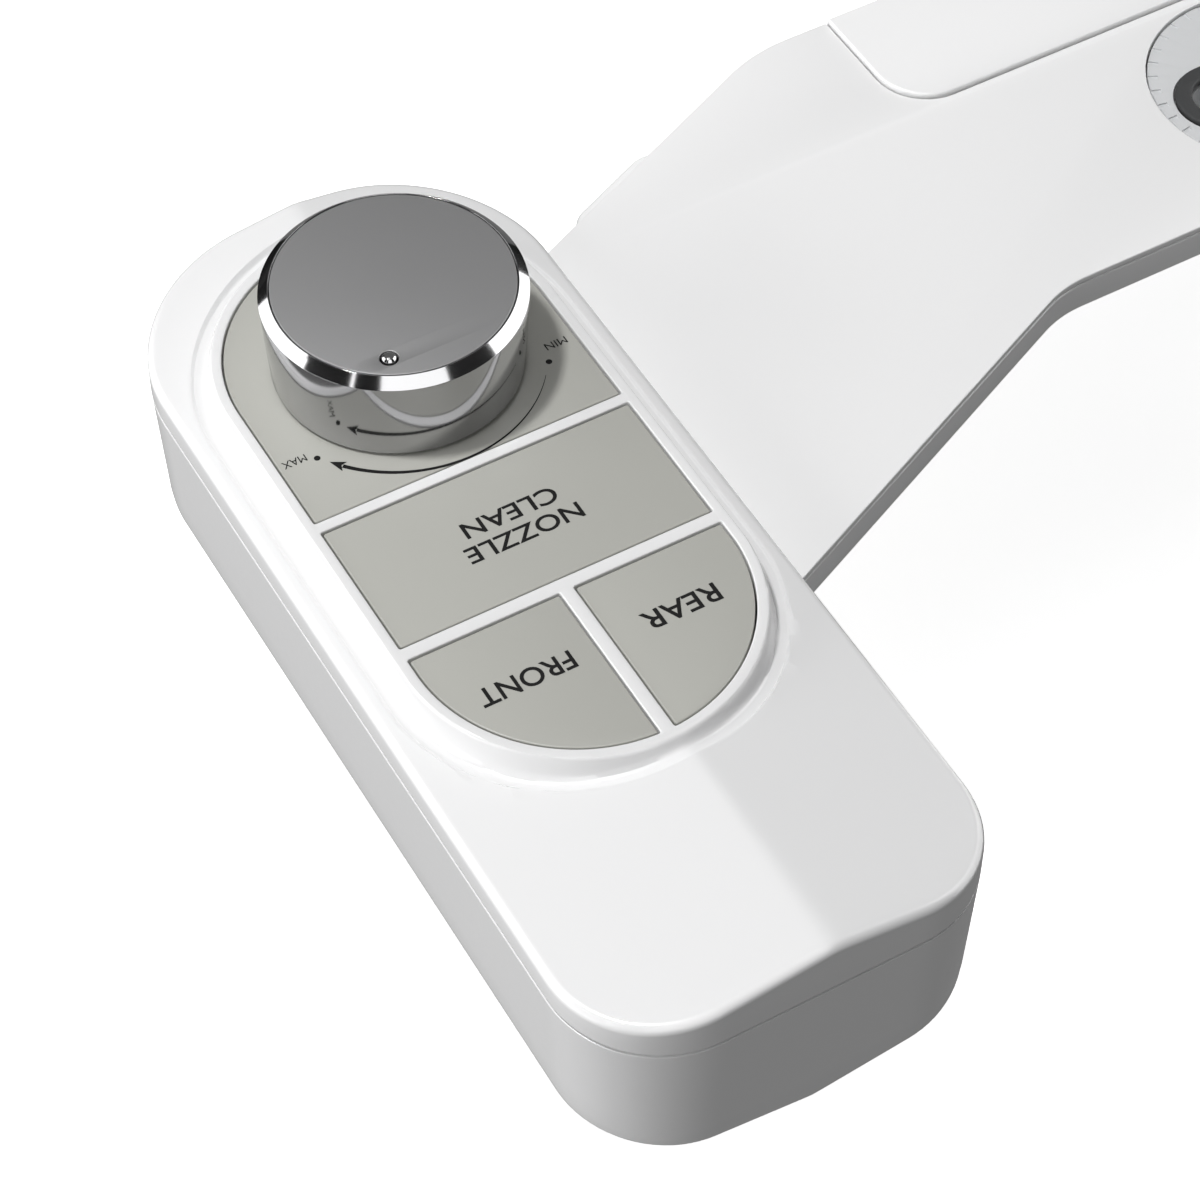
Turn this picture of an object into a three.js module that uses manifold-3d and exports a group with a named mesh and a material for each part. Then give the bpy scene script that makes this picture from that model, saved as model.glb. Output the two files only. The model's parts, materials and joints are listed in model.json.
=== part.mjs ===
// Slim non-electric bidet attachment: a control box that hangs outside the toilet bowl, a flat arm
// that passes under the toilet's seat, and a nozzle unit that hangs into the bowl.
// Millimetres, +Z up, -Y towards the seated user's feet, the control box on the -X side.
// Origin: the underside of the plate, midway between the two seat-bolt slots.
import * as THREE from 'three';
import { mergeVertices } from 'three/addons/utils/BufferGeometryUtils.js';
import Module from 'manifold-3d';

const wasm = await Module();
wasm.setup();

// ---- Driving dimensions -------------------------------------------------------------------------

const GAP = 0.3; // between neighbouring pieces
const BOLT_HALF_SPACING = 70; // seat bolts stand 140 mm apart
const PLATE_TOP = 7; // thickness of the arm and of the plate under the seat
const PLATE_FLOOR = 1.2; // bottom wall of the plate
const COVER_SKIN = 1.2; // top wall of the plate
const PLATE_WALL = 2; // side wall of the plate
const PLATE_FRONT = -23;
const PLATE_BACK = 48;
const PLATE_RIGHT = 104;
const ARM_SLOPE = 0.449; // rise of the arm's edges in Y for each millimetre along X
const ARM_INNER_X = -199.6; // where the arm ends inside the control box
const SEAM_X = -127; // left end of the raised cover behind the bolts
const SEAM_Y = 23; // front edge of that cover
const CENTRE_RAISE = 0.8; // how far that cover stands above the plate

const CONTROL = new THREE.Vector3(-230, -48, 17.4); // near end of the panel, level with its top
const PANEL_RADIUS = 26; // half-width of the grey field
const PANEL_SPAN = 57; // between the centres of its round ends
const KNOB_Y = 55;
const RIM_RADIUS = 27.8; // outside of the raised rim round the grey field
const RIB_A = [3.0, 5.2]; // rib between the two spray buttons and the nozzle-clean button
const RIB_B = [30.1, 32.0]; // rib between the nozzle-clean button and the dial plate
const RIB_HALF = 1.1; // half-width of the rib between the two spray buttons
const FIELD_DROP = 0.2; // the grey field lies this far below the rim's top
const LEDGE_TOP = -2.3; // the dial plate rests here

const BOX_HALF_WIDTH = 33.5;
const BOX_NEAR = -68.4;
const BOX_FAR = 94;
const BOX_NEAR_RADIUS = 17.5;
const BOX_FAR_RADIUS = 25;
const BOX_DRAFT = 1.1; // how much narrower the box is at its bottom, each side
const BOX_WALL = 2.4;
const CREST = [1.5, -0.6]; // X and Z of the long crest on the cover
const RIM_Z = -5.2; // top edge of the box's side walls
const PARTING_Z = -10.4; // joint between cover and base
const SIDE_BOTTOM_Z = -34.6;
const KEEL_Z = -39.3;

const KNOB_RADIUS = 20.3;
const KNOB_FOOT_RADIUS = 19.5;
const KNOB_BEVEL = 1.55;
const KNOB_TOP = 16.6;
const SPINDLE_RADIUS = 3.9;

const HOSE_RADIUS = 1.7;
const NOZZLE_TILT = THREE.MathUtils.degToRad(35);
const NOZZLE_HINGE = new THREE.Vector3(0, -18, -4); // back top edge of the nozzle housing
const NOZZLE_X = 11; // the nozzles lie this far each side of the middle
const NOZZLE_LENGTH = 58; // of the housing
const NOZZLE_DEPTH = 20;
const NOZZLE_AXIS_Z = -10; // nozzle axis below the housing's top
const NOZZLE_RADIUS = 3.8;

// ---- Materials ----------------------------------------------------------------------------------

const finish = (color, roughness, metalness = 0) =>
  new THREE.MeshStandardMaterial({ color, roughness, metalness });
const whiteShell = () => finish(0xf2f2f2, 0.25);
const greyPanel = () => finish(0xb3b3ab, 0.4);
const chrome = () => finish(0xd8dadc, 0.05, 1);
const satinMetal = () => finish(0x848485, 0.35, 1);
const steel = () => finish(0xa9acb0, 0.3, 1);
const brass = () => finish(0xc6a255, 0.3, 1);
const rubber = () => finish(0x26282a, 0.8);
const ceramic = () => finish(0xe9e6df, 0.2);
const innerPlastic = () => finish(0xd9dbdd, 0.5);
const hosePlastic = () => finish(0xe4ebef, 0.35);

// ---- Geometry helpers ---------------------------------------------------------------------------

function toSolid(geometry) {
  const bare = geometry.clone();
  bare.deleteAttribute('normal');
  bare.deleteAttribute('uv');
  const merged = mergeVertices(bare, 1e-4);
  const triVerts = new Uint32Array(merged.index.array);
  return new wasm.Manifold(
    new wasm.Mesh({ numProp: 3, vertProperties: merged.attributes.position.array, triVerts }),
  );
}

function toGeometry(solid) {
  const mesh = solid.getMesh();
  const geometry = new THREE.BufferGeometry();
  geometry.setAttribute('position', new THREE.BufferAttribute(new Float32Array(mesh.vertProperties), 3));
  geometry.setIndex(new THREE.BufferAttribute(new Uint32Array(mesh.triVerts), 1));
  geometry.computeVertexNormals();
  return geometry;
}

const combine = (method) => (first, ...others) =>
  toGeometry(others.reduce((solid, other) => solid[method](toSolid(other)), toSolid(first)));
const join = combine('add');
const cut = combine('subtract');
const common = combine('intersect');

// A flat shape from height low to height high.
function slab(shape, low, high, curveSegments = 8) {
  const geometry = new THREE.ExtrudeGeometry(shape, {
    depth: high - low, bevelEnabled: false, curveSegments,
  });
  return geometry.translate(0, 0, low);
}

// A section drawn as [X, Z] points, running along Y.
function beam(points, yLow, yHigh) {
  const shape = new THREE.Shape(points.map(([x, z]) => new THREE.Vector2(x, z)));
  return slab(shape, -yHigh, -yLow).rotateX(Math.PI / 2);
}

// A section drawn as [Y, Z] points, running along X.
function crossBeam(points, halfWidth) {
  const shape = new THREE.Shape(points.map(([y, z]) => new THREE.Vector2(y, z)));
  return slab(shape, -halfWidth, halfWidth).rotateX(Math.PI / 2).rotateZ(Math.PI / 2);
}

// A profile of [radius, Z] points turned about the vertical line through x, y.
function turned(profile, segments, x = 0, y = 0) {
  const points = profile.map(([radius, z]) => new THREE.Vector2(radius, z));
  return new THREE.LatheGeometry(points, segments).rotateX(Math.PI / 2).translate(x, y, 0);
}

const rod = (radius, low, high, segments, x = 0, y = 0) =>
  turned([[0, low], [radius, low], [radius, high], [0, high]], segments, x, y);

const ring = (inner, outer, low, high, segments, x = 0, y = 0) =>
  turned([[inner, low], [outer, low], [outer, high], [inner, high], [inner, low]], segments, x, y);

const block = (x0, x1, y0, y1, z0, z1) =>
  new THREE.BoxGeometry(x1 - x0, y1 - y0, z1 - z0)
    .translate((x0 + x1) / 2, (y0 + y1) / 2, (z0 + z1) / 2);

// A round bar that follows a curve.
function bar(curve, radius, sides, steps) {
  const section = new THREE.Shape();
  for (let i = 0; i < sides; i += 1) {
    const angle = (i / sides) * 2 * Math.PI;
    const point = [radius * Math.cos(angle), radius * Math.sin(angle)];
    if (i === 0) section.moveTo(...point);
    else section.lineTo(...point);
  }
  section.closePath();
  return new THREE.ExtrudeGeometry(section, { extrudePath: curve, steps, bevelEnabled: false });
}

const hose = (points, steps) =>
  bar(new THREE.CatmullRomCurve3(points.map((p) => new THREE.Vector3(...p))), HOSE_RADIUS, 5, steps);

// A coil spring's wire: a helix about the Z axis, from height low to height high.
class Helix extends THREE.Curve {
  constructor(radius, low, high, turns) {
    super();
    Object.assign(this, { radius, low, high, turns });
  }

  getPoint(t, target = new THREE.Vector3()) {
    const angle = t * this.turns * 2 * Math.PI;
    const z = this.low + t * (this.high - this.low);
    return target.set(this.radius * Math.cos(angle), this.radius * Math.sin(angle), z);
  }
}

const spring = (radius, wire, low, high, turns) =>
  bar(new Helix(radius, low + wire, high - wire, turns), wire, 4, turns * 8);

// The polygon moved inwards by distance; its points run counter-clockwise and carry a corner radius.
function inset(points, distance) {
  const count = points.length;
  return points.map((point, i) => {
    const before = points[(i + count - 1) % count];
    const after = points[(i + 1) % count];
    const a = new THREE.Vector2(point[0] - before[0], point[1] - before[1]).normalize();
    const b = new THREE.Vector2(after[0] - point[0], after[1] - point[1]).normalize();
    const scale = distance / (1 + a.dot(b));
    const turn = Math.sign(a.cross(b));
    const radius = Math.max(0, (point[2] || 0) - turn * distance);
    return [point[0] - (a.y + b.y) * scale, point[1] + (a.x + b.x) * scale, point[2] ? radius : 0];
  });
}

// A closed outline of [x, y, corner radius] points.
function outline(points) {
  const shape = new THREE.Shape();
  points.forEach((point, i) => {
    const corner = new THREE.Vector2(point[0], point[1]);
    const before = new THREE.Vector2(...points[(i + points.length - 1) % points.length]);
    const after = new THREE.Vector2(...points[(i + 1) % points.length]);
    const toBefore = before.clone().sub(corner).normalize();
    const toAfter = after.clone().sub(corner).normalize();
    const half = Math.acos(THREE.MathUtils.clamp(toBefore.dot(toAfter), -1, 1)) / 2;
    const reach = (point[2] || 0) / Math.tan(half);
    const start = corner.clone().addScaledVector(toBefore, reach);
    const end = corner.clone().addScaledVector(toAfter, reach);
    if (i === 0) shape.moveTo(start.x, start.y);
    else shape.lineTo(start.x, start.y);
    if (reach > 0.01) shape.quadraticCurveTo(corner.x, corner.y, end.x, end.y);
  });
  shape.closePath();
  return shape;
}

// A slot or stadium whose round ends have their centres at a and b, along X or along Y.
function stadium(radius, a, b, alongY = true, centre = 0) {
  const shape = new THREE.Shape();
  if (alongY) {
    shape.absarc(centre, b, radius, 0, Math.PI, false);
    shape.absarc(centre, a, radius, Math.PI, 2 * Math.PI, false);
  } else {
    shape.absarc(a, centre, radius, Math.PI / 2, 1.5 * Math.PI, false);
    shape.absarc(b, centre, radius, -Math.PI / 2, Math.PI / 2, false);
  }
  shape.closePath();
  return shape;
}

// A pan-head screw whose head's face is at headZ and whose point is at pointZ.
function screw(x, y, headZ, pointZ, headRadius = 2.8, shankRadius = 1.1, headHeight = 1.8) {
  const down = Math.sign(headZ - pointZ);
  const shoulder = headZ - down * headHeight;
  const profile = [
    [0, pointZ], [shankRadius, pointZ], [shankRadius, shoulder], [headRadius, shoulder],
    [headRadius, headZ], [0, headZ],
  ];
  return turned(down > 0 ? profile : profile.reverse(), 8, x, y);
}

const object = new THREE.Group();
const control = new THREE.Group();
control.position.copy(CONTROL);
const nozzleUnit = new THREE.Group();
nozzleUnit.position.copy(NOZZLE_HINGE);
nozzleUnit.rotation.x = NOZZLE_TILT;
object.add(control, nozzleUnit);

function piece(parent, name, geometry, material) {
  const mesh = new THREE.Mesh(geometry, material);
  mesh.name = name;
  parent.add(mesh);
}

// ---- Control box shells (in the control box's own frame) ----------------------------------------

// Points round the box in plan, moved inwards by margin.
function boxRing(margin, z) {
  const arcs = [
    [BOX_HALF_WIDTH - BOX_NEAR_RADIUS, BOX_NEAR + BOX_NEAR_RADIUS, BOX_NEAR_RADIUS, -90],
    [BOX_HALF_WIDTH - BOX_FAR_RADIUS, BOX_FAR - BOX_FAR_RADIUS, BOX_FAR_RADIUS, 0],
    [BOX_FAR_RADIUS - BOX_HALF_WIDTH, BOX_FAR - BOX_FAR_RADIUS, BOX_FAR_RADIUS, 90],
    [BOX_NEAR_RADIUS - BOX_HALF_WIDTH, BOX_NEAR + BOX_NEAR_RADIUS, BOX_NEAR_RADIUS, 180],
  ];
  const steps = 6;
  const points = [];
  arcs.forEach(([x, y, radius, startAngle]) => {
    for (let i = 0; i <= steps; i += 1) {
      const angle = THREE.MathUtils.degToRad(startAngle + (90 * i) / steps);
      const reach = radius - margin;
      points.push([x + reach * Math.cos(angle), y + reach * Math.sin(angle), z]);
    }
  });
  return points;
}

// A closed solid between two rings with the same number of points.
function loft(lower, upper) {
  const count = lower.length;
  const centre = (points) => [0, 1, 2].map((k) => points.reduce((sum, p) => sum + p[k], 0) / count);
  const positions = [...lower, ...upper, centre(lower), centre(upper)].flat();
  const index = [];
  for (let i = 0; i < count; i += 1) {
    const next = (i + 1) % count;
    index.push(i, next, count + next, i, count + next, count + i);
    index.push(2 * count, next, i, 2 * count + 1, count + i, count + next);
  }
  const geometry = new THREE.BufferGeometry();
  geometry.setAttribute('position', new THREE.BufferAttribute(new Float32Array(positions), 3));
  geometry.setIndex(index);
  return geometry;
}

// Points round the grey field's stadium, grown to the given radius.
function stadiumRing(radius, z) {
  const steps = 12;
  const points = [];
  [[PANEL_SPAN, 0], [0, Math.PI]].forEach(([y, startAngle]) => {
    for (let i = 0; i <= steps; i += 1) {
      const angle = startAngle + (i / steps) * Math.PI;
      points.push([radius * Math.cos(angle), y + radius * Math.sin(angle), z]);
    }
  });
  return points;
}

// The whole box as one block, moved inwards by margin.
function boxBlock(margin, low, high) {
  const bottomZ = KEEL_Z - 2;
  const sides = loft(boxRing(margin + BOX_DRAFT, bottomZ), boxRing(margin, PARTING_Z));
  const top = loft(boxRing(margin, PARTING_Z), boxRing(margin, 2));
  const reach = BOX_HALF_WIDTH + 6;
  const leftSlope = (CREST[1] - RIM_Z) / (BOX_HALF_WIDTH + CREST[0]);
  const rightSlope = (CREST[1] - RIM_Z) / (BOX_HALF_WIDTH - CREST[0]);
  const keelSlope = (SIDE_BOTTOM_Z - KEEL_Z) / BOX_HALF_WIDTH;
  const section = [
    [-reach, CREST[1] - margin - leftSlope * (reach + CREST[0])],
    [-reach, KEEL_Z + margin + keelSlope * reach],
    [0, KEEL_Z + margin],
    [reach, KEEL_Z + margin + keelSlope * reach],
    [reach, CREST[1] - margin - rightSlope * (reach - CREST[0])],
    [CREST[0], CREST[1] - margin],
  ];
  const whole = common(join(sides, top), beam(section, BOX_NEAR - 5, BOX_FAR + 5));
  return common(whole, block(-60, 60, -90, 110, low, high));
}

const armOutline = (() => {
  const frontBendX = CONTROL.x + 36 + (PLATE_FRONT - (CONTROL.y - 5)) / ARM_SLOPE;
  const backBendX = CONTROL.x + 37 + (PLATE_BACK - (CONTROL.y + 73)) / ARM_SLOPE;
  return [
    [ARM_INNER_X, PLATE_FRONT - (frontBendX - ARM_INNER_X) * ARM_SLOPE, 0],
    [frontBendX, PLATE_FRONT, 20],
    [-36, PLATE_FRONT, 4],
    [-30, -42, 5],
    [30, -42, 5],
    [36, PLATE_FRONT, 4],
    [PLATE_RIGHT, PLATE_FRONT, 18],
    [PLATE_RIGHT, PLATE_BACK, 14],
    [backBendX, PLATE_BACK, 30],
    [ARM_INNER_X, PLATE_BACK - (backBendX - ARM_INNER_X) * ARM_SLOPE, 0],
  ];
})();

// Space that the arm takes up inside the control box, in the control box's frame.
const armSpace = slab(outline(inset(armOutline, -GAP)), -GAP, PLATE_TOP + 5)
  .translate(-CONTROL.x, -CONTROL.y, -CONTROL.z);

const SCREW_POSTS = [[-24, -56], [24, -56], [-20.5, 84], [20.5, 84]];
const MANIFOLD_POSTS = [[-15, 27], [15, 27]];
const VALVE_BOTTOM = -30;
const MANIFOLD_BOTTOM = -29;

function controlBase() {
  const top = PARTING_Z - 0.2;
  const shell = cut(boxBlock(0, -60, top), boxBlock(BOX_WALL, -60, top + 5));
  const posts = SCREW_POSTS.map(([x, y]) => rod(4.2, -50, top, 12, x, y));
  const stands = MANIFOLD_POSTS.map(([x, y]) => rod(3, -50, MANIFOLD_BOTTOM - GAP, 10, x, y));
  const valveSeat = ring(9, 11.5, -50, VALVE_BOTTOM - GAP, 16, 0, KNOB_Y);
  const inside = common(join(posts[0], ...posts.slice(1), ...stands, valveSeat), boxBlock(1, -60, 5));
  const bores = SCREW_POSTS.map(([x, y]) => join(rod(1.6, -50, 0, 8, x, y), rod(3.2, -50, -33, 10, x, y)));
  const pilots = MANIFOLD_POSTS.map(([x, y]) => rod(1.5, -34, 0, 8, x, y));
  return cut(join(shell, inside), armSpace, ...bores, ...pilots);
}

// Outline of one key cap, moved inwards by margin.
function keyShape(kind, margin, low, high) {
  const field = slab(stadium(PANEL_RADIUS - margin, 0, PANEL_SPAN), low, high);
  if (kind === 'clean') {
    return common(field, block(-40, 40, RIB_A[1] + margin, RIB_B[0] - margin, low - 1, high + 1));
  }
  const edge = RIB_HALF + margin;
  const sides = kind === 'front' ? [-40, -edge] : [edge, 40];
  return common(field, block(...sides, -40, RIB_A[0] - margin, low - 1, high + 1));
}

// The part of the field that the dial plate covers, moved inwards by margin.
const dialShape = (margin, low, high) => common(
  slab(stadium(PANEL_RADIUS - margin, 0, PANEL_SPAN), low, high),
  block(-40, 40, RIB_B[1] + margin, 120, low - 1, high + 1),
);

// One moulding: the crested top, the raised rim, the ribs between the keys and the dial's ledge.
function controlCover() {
  const bottom = PARTING_Z + GAP;
  const shell = cut(boxBlock(0, bottom, 5), boxBlock(BOX_WALL, -60, 5));
  const rim = slab(stadium(RIM_RADIUS, 0, PANEL_SPAN), -7, 0);
  const foot = loft(
    stadiumRing(RIM_RADIUS + 3.2, -6),
    stadiumRing(RIM_RADIUS, -1.8),
  );
  const posts = SCREW_POSTS.map(([x, y]) => rod(3.5, bottom, 5, 12, x, y));
  const inside = common(join(posts[0], ...posts.slice(1)), boxBlock(1, bottom, 5));
  const openings = ['clean', 'front', 'rear'].map((kind) => keyShape(kind, 0, -20, 5));
  const bores = SCREW_POSTS.map(([x, y]) => rod(1.4, -20, -6.8, 8, x, y));
  return cut(join(shell, inside, rim, foot), ...openings, dialShape(0, LEDGE_TOP, 5),
    dialShape(2, -20, LEDGE_TOP - 2.4), rod(8, -20, 5, 16, 0, KNOB_Y), ...bores);
}

piece(control, 'control_base', controlBase(), whiteShell());
piece(control, 'control_cover', controlCover(), whiteShell());
SCREW_POSTS.forEach(([x, y], i) => {
  piece(control, `cover_screw_${i + 1}`, screw(x, y, -34.8, -7.4), steel());
});

// ---- Panel: dial plate and push buttons ---------------------------------------------------------

const dialPlate = cut(dialShape(GAP, LEDGE_TOP + GAP, -FIELD_DROP), rod(6.5, -20, 5, 16, 0, KNOB_Y));
piece(control, 'dial_plate', dialPlate, greyPanel());

const KEYS = [
  { kind: 'clean', x: 0, y: 17.6 },
  { kind: 'front', x: -11.5, y: -8 },
  { kind: 'rear', x: 11.5, y: -8 },
];
const CAP_UNDERSIDE = -2.6;
const SKIRT_BOTTOM = -6.6;
const BOSS_BOTTOM = -9;
const MANIFOLD_TOP = -17;

KEYS.forEach(({ kind, x, y }) => {
  const cap = keyShape(kind, GAP, SKIRT_BOTTOM, -FIELD_DROP);
  const hollow = keyShape(kind, GAP + 1.4, SKIRT_BOTTOM - 1, CAP_UNDERSIDE);
  const key = join(cut(cap, hollow), rod(5, BOSS_BOTTOM, CAP_UNDERSIDE + 0.5, 12, x, y));
  piece(control, `${kind}_button`, key, greyPanel());
  const plunger = join(
    rod(1.9, -23, BOSS_BOTTOM - GAP, 10, x, y),
    rod(2.9, -20.6, -19.2, 10, x, y),
  );
  piece(control, `${kind}_plunger`, plunger, innerPlastic());
  const coil = spring(3.7, 0.45, MANIFOLD_TOP + GAP, BOSS_BOTTOM - GAP, 4).translate(x, y, 0);
  piece(control, `${kind}_spring`, coil, steel());
});

// ---- Pressure knob and its valve ----------------------------------------------------------------

const KNOB_UNDERSIDE = 0.3;
const KNOB_WEB = [11.2, 13.2];
const KNOB_RECESS = KNOB_TOP - 1.2; // floor of the recess that takes the top disc
const TOP_DISC_LOW = KNOB_RECESS + GAP;

const knobProfile = [
  [1.5, KNOB_WEB[0]], [4.2, KNOB_WEB[0]], [4.2, 1], [6.2, 1], [6.2, KNOB_WEB[0]],
  [KNOB_FOOT_RADIUS - 2.2, KNOB_WEB[0]], [KNOB_FOOT_RADIUS - 2.2, KNOB_UNDERSIDE],
  [KNOB_FOOT_RADIUS, KNOB_UNDERSIDE], [KNOB_RADIUS, KNOB_TOP - KNOB_BEVEL],
  [KNOB_RADIUS - KNOB_BEVEL, KNOB_TOP], [18.6, KNOB_TOP], [18.6, KNOB_RECESS], [4, KNOB_RECESS],
  [4, KNOB_WEB[1]], [1.5, KNOB_WEB[1]], [1.5, KNOB_WEB[0]],
];
const STUD_REACH = 15.2;
const STUD_ANGLE = THREE.MathUtils.degToRad(-120);
const stud = [STUD_REACH * Math.cos(STUD_ANGLE), KNOB_Y + STUD_REACH * Math.sin(STUD_ANGLE)];

piece(control, 'knob_body', turned(knobProfile, 32, 0, KNOB_Y), chrome());
piece(control, 'knob_top_disc',
  cut(rod(18.3, TOP_DISC_LOW, KNOB_TOP, 32, 0, KNOB_Y), rod(1.45, 10, 20, 8, ...stud)), satinMetal());
piece(control, 'knob_stud', turned([
  [0, TOP_DISC_LOW], [1.15, TOP_DISC_LOW], [1.15, KNOB_TOP + 0.1], [0.8, KNOB_TOP + 0.45],
  [0, KNOB_TOP + 0.6],
], 8, ...stud), chrome());

const spindle = cut(
  turned([
    [0, -20.6], [9.8, -20.6], [9.8, -16.3], [SPINDLE_RADIUS, -16.3],
    [SPINDLE_RADIUS, 10.9], [0, 10.9],
  ], 16, 0, KNOB_Y),
  rod(1.5, 0, 20, 8, 0, KNOB_Y),
);
piece(control, 'knob_spindle', spindle, brass());
piece(control, 'knob_screw', screw(0, KNOB_Y, 15.2, 3, 3.2, 1.2, 1.7), steel());

const discPort = (z0, z1) => rod(2.2, z0, z1, 8, 5, KNOB_Y);
piece(control, 'turning_disc', cut(rod(9.8, -23.9, -20.9, 16, 0, KNOB_Y), discPort(-30, -15)), ceramic());
piece(control, 'fixed_disc', cut(rod(9.8, -27.2, -24.2, 16, 0, KNOB_Y), discPort(-30, -15)), ceramic());

const valveCup = turned([
  [0, VALVE_BOTTOM], [13, VALVE_BOTTOM], [13, -12], [10.2, -12], [10.2, -27.5], [0, -27.5],
], 18, 0, KNOB_Y);
const valvePort = rod(HOSE_RADIUS + 1.5, 12, 15.5, 10).rotateY(Math.PI / 2).translate(0, KNOB_Y, -22);
const outletPort = rod(HOSE_RADIUS + 1.5, 12, 15.5, 10).rotateX(Math.PI / 2).translate(-5, KNOB_Y, -22);
piece(control, 'valve_body', join(valveCup, valvePort, outletPort), innerPlastic());
piece(control, 'valve_bonnet', turned([
  [4.2, -13.6], [9.9, -13.6], [9.9, -11.7], [13, -11.7], [13, -8.8], [4.2, -8.8], [4.2, -13.6],
], 18, 0, KNOB_Y), brass());
const sealSection = Array.from({ length: 7 }, (_, i) => {
  const angle = (i / 6) * 2 * Math.PI;
  return [5.3 + 0.9 * Math.cos(angle), -15 + 0.9 * Math.sin(angle)];
});
piece(control, 'spindle_seal', turned(sealSection, 14, 0, KNOB_Y), rubber());

// ---- Selector manifold under the buttons --------------------------------------------------------

function selectorManifold() {
  const body = slab(outline([[-19, -16, 6], [19, -16, 6], [19, 31, 5], [-19, 31, 5]]),
    MANIFOLD_BOTTOM, MANIFOLD_TOP, 4);
  const bores = KEYS.map(({ x, y }) => join(rod(2.2, -26.5, 0, 10, x, y), rod(3.2, -24, -18.6, 10, x, y)));
  const open = KEYS.map(({ x, y }) => rod(3.2, -18.7, -10, 10, x, y));
  const holes = MANIFOLD_POSTS.map(([x, y]) => rod(1.8, -40, 0, 8, x, y));
  return cut(body, ...bores, ...open, ...holes);
}
piece(control, 'selector_manifold', selectorManifold(), innerPlastic());
MANIFOLD_POSTS.forEach(([x, y], i) => {
  piece(control, `manifold_screw_${i + 1}`, screw(x, y, -14.9, -33), steel());
});

// ---- Arm and plate ------------------------------------------------------------------------------

const TROUGH_Z = (PLATE_FLOOR + PLATE_TOP - COVER_SKIN - GAP) / 2;
const COVER_LOW = PLATE_TOP - COVER_SKIN;
const BASE_TOP = COVER_LOW - GAP;
const BOLT_X = [-BOLT_HALF_SPACING, BOLT_HALF_SPACING];
const DISC_RADIUS = 20.3;
const DISC_NECK = 18.3;
const PLATE_SCREWS = [[-112, 42.4], [92, 40], [-176, -38], [30, -16]];
const NOZZLE_SCREWS = [[-24, -34], [24, -34]];
const INLET = new THREE.Vector2(-172.7, 25.3);
const edgeAngle = Math.atan(ARM_SLOPE);

// The rounded housing of the water inlet: it stands out behind the arm's back edge.
const inletHousing = slab(outline([[-12, -20, 4], [12, -20, 4], [12, 11, 5], [-12, 11, 5]]), -9, 4, 5)
  .rotateZ(edgeAngle).translate(INLET.x, INLET.y, 0);

function armBase() {
  const body = slab(outline(armOutline), 0, BASE_TOP, 6);
  const hollow = slab(outline(inset(armOutline, PLATE_WALL)), PLATE_FLOOR, 20, 5);
  const openEnd = block(ARM_INNER_X - 5, ARM_INNER_X + 5, -50, 19, PLATE_FLOOR, 20);
  const bosses = BOLT_X.map((x) => rod(DISC_RADIUS + 2.2, 0, BASE_TOP, 24, x, 0));
  const posts = PLATE_SCREWS.map(([x, y]) => rod(3.2, 0, BASE_TOP, 10, x, y));
  const necks = BOLT_X.map((x) => rod(DISC_NECK + GAP, -5, 20, 24, x, 0));
  const seats = BOLT_X.map((x) => rod(DISC_RADIUS + GAP, 3.2, 20, 24, x, 0));
  const bores = PLATE_SCREWS.map(([x, y]) => join(rod(1.5, -5, 20, 8, x, y), rod(2.8, -5, 1.9, 8, x, y)));
  const hoseHoles = [block(-19, -4, -12, 10, -5, 3), block(9, 19, -12, 10, -5, 3)];
  const nozzleHoles = NOZZLE_SCREWS.map(([x, y]) => rod(1.4, -5, 20, 8, x, y));
  const inletBore = rod(7.2, -20, 20, 16, INLET.x, INLET.y);
  const tray = cut(join(body, inletHousing), hollow, openEnd);
  return cut(join(tray, ...bosses, ...posts),
    ...necks, ...seats, ...bores, ...hoseHoles, ...nozzleHoles, inletBore);
}

// The raised cover's outline, grown by margin.
const raisedCover = (margin) => outline([
  [SEAM_X - margin, SEAM_Y - margin, 9], [PLATE_RIGHT + 20, SEAM_Y - margin, 0],
  [PLATE_RIGHT + 20, PLATE_BACK + 20, 0], [SEAM_X - margin, PLATE_BACK + 20, 0],
]);

function armCover() {
  const skin = slab(outline(armOutline), COVER_LOW, PLATE_TOP);
  const seam = slab(raisedCover(GAP), -5, 20);
  const seats = BOLT_X.map((x) => rod(DISC_RADIUS + GAP, -5, 20, 24, x, 0));
  const bores = PLATE_SCREWS.slice(2).map(([x, y]) => rod(1.4, -5, 6.3, 8, x, y));
  return cut(skin, seam, ...seats, ...bores);
}

function centreCover() {
  const skin = slab(outline(armOutline), COVER_LOW, PLATE_TOP + CENTRE_RAISE);
  const bores = PLATE_SCREWS.slice(0, 2).map(([x, y]) => rod(1.4, -5, 6.3, 8, x, y));
  return cut(common(skin, slab(raisedCover(0), -5, 20)), ...bores);
}

piece(object, 'arm_base', armBase(), whiteShell());
piece(object, 'arm_cover', armCover(), whiteShell());
piece(object, 'centre_cover', centreCover(), whiteShell());
PLATE_SCREWS.forEach(([x, y], i) => {
  piece(object, `plate_screw_${i + 1}`, screw(x, y, 0.2, 6, 2.4, 1, 1.2), steel());
});

// ---- Turning discs that take the seat bolts -----------------------------------------------------

const SLOT_RADIUS = 4.6;
const SLOT_REACH = 10; // between the slot's middle and the centre of each round end

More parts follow.
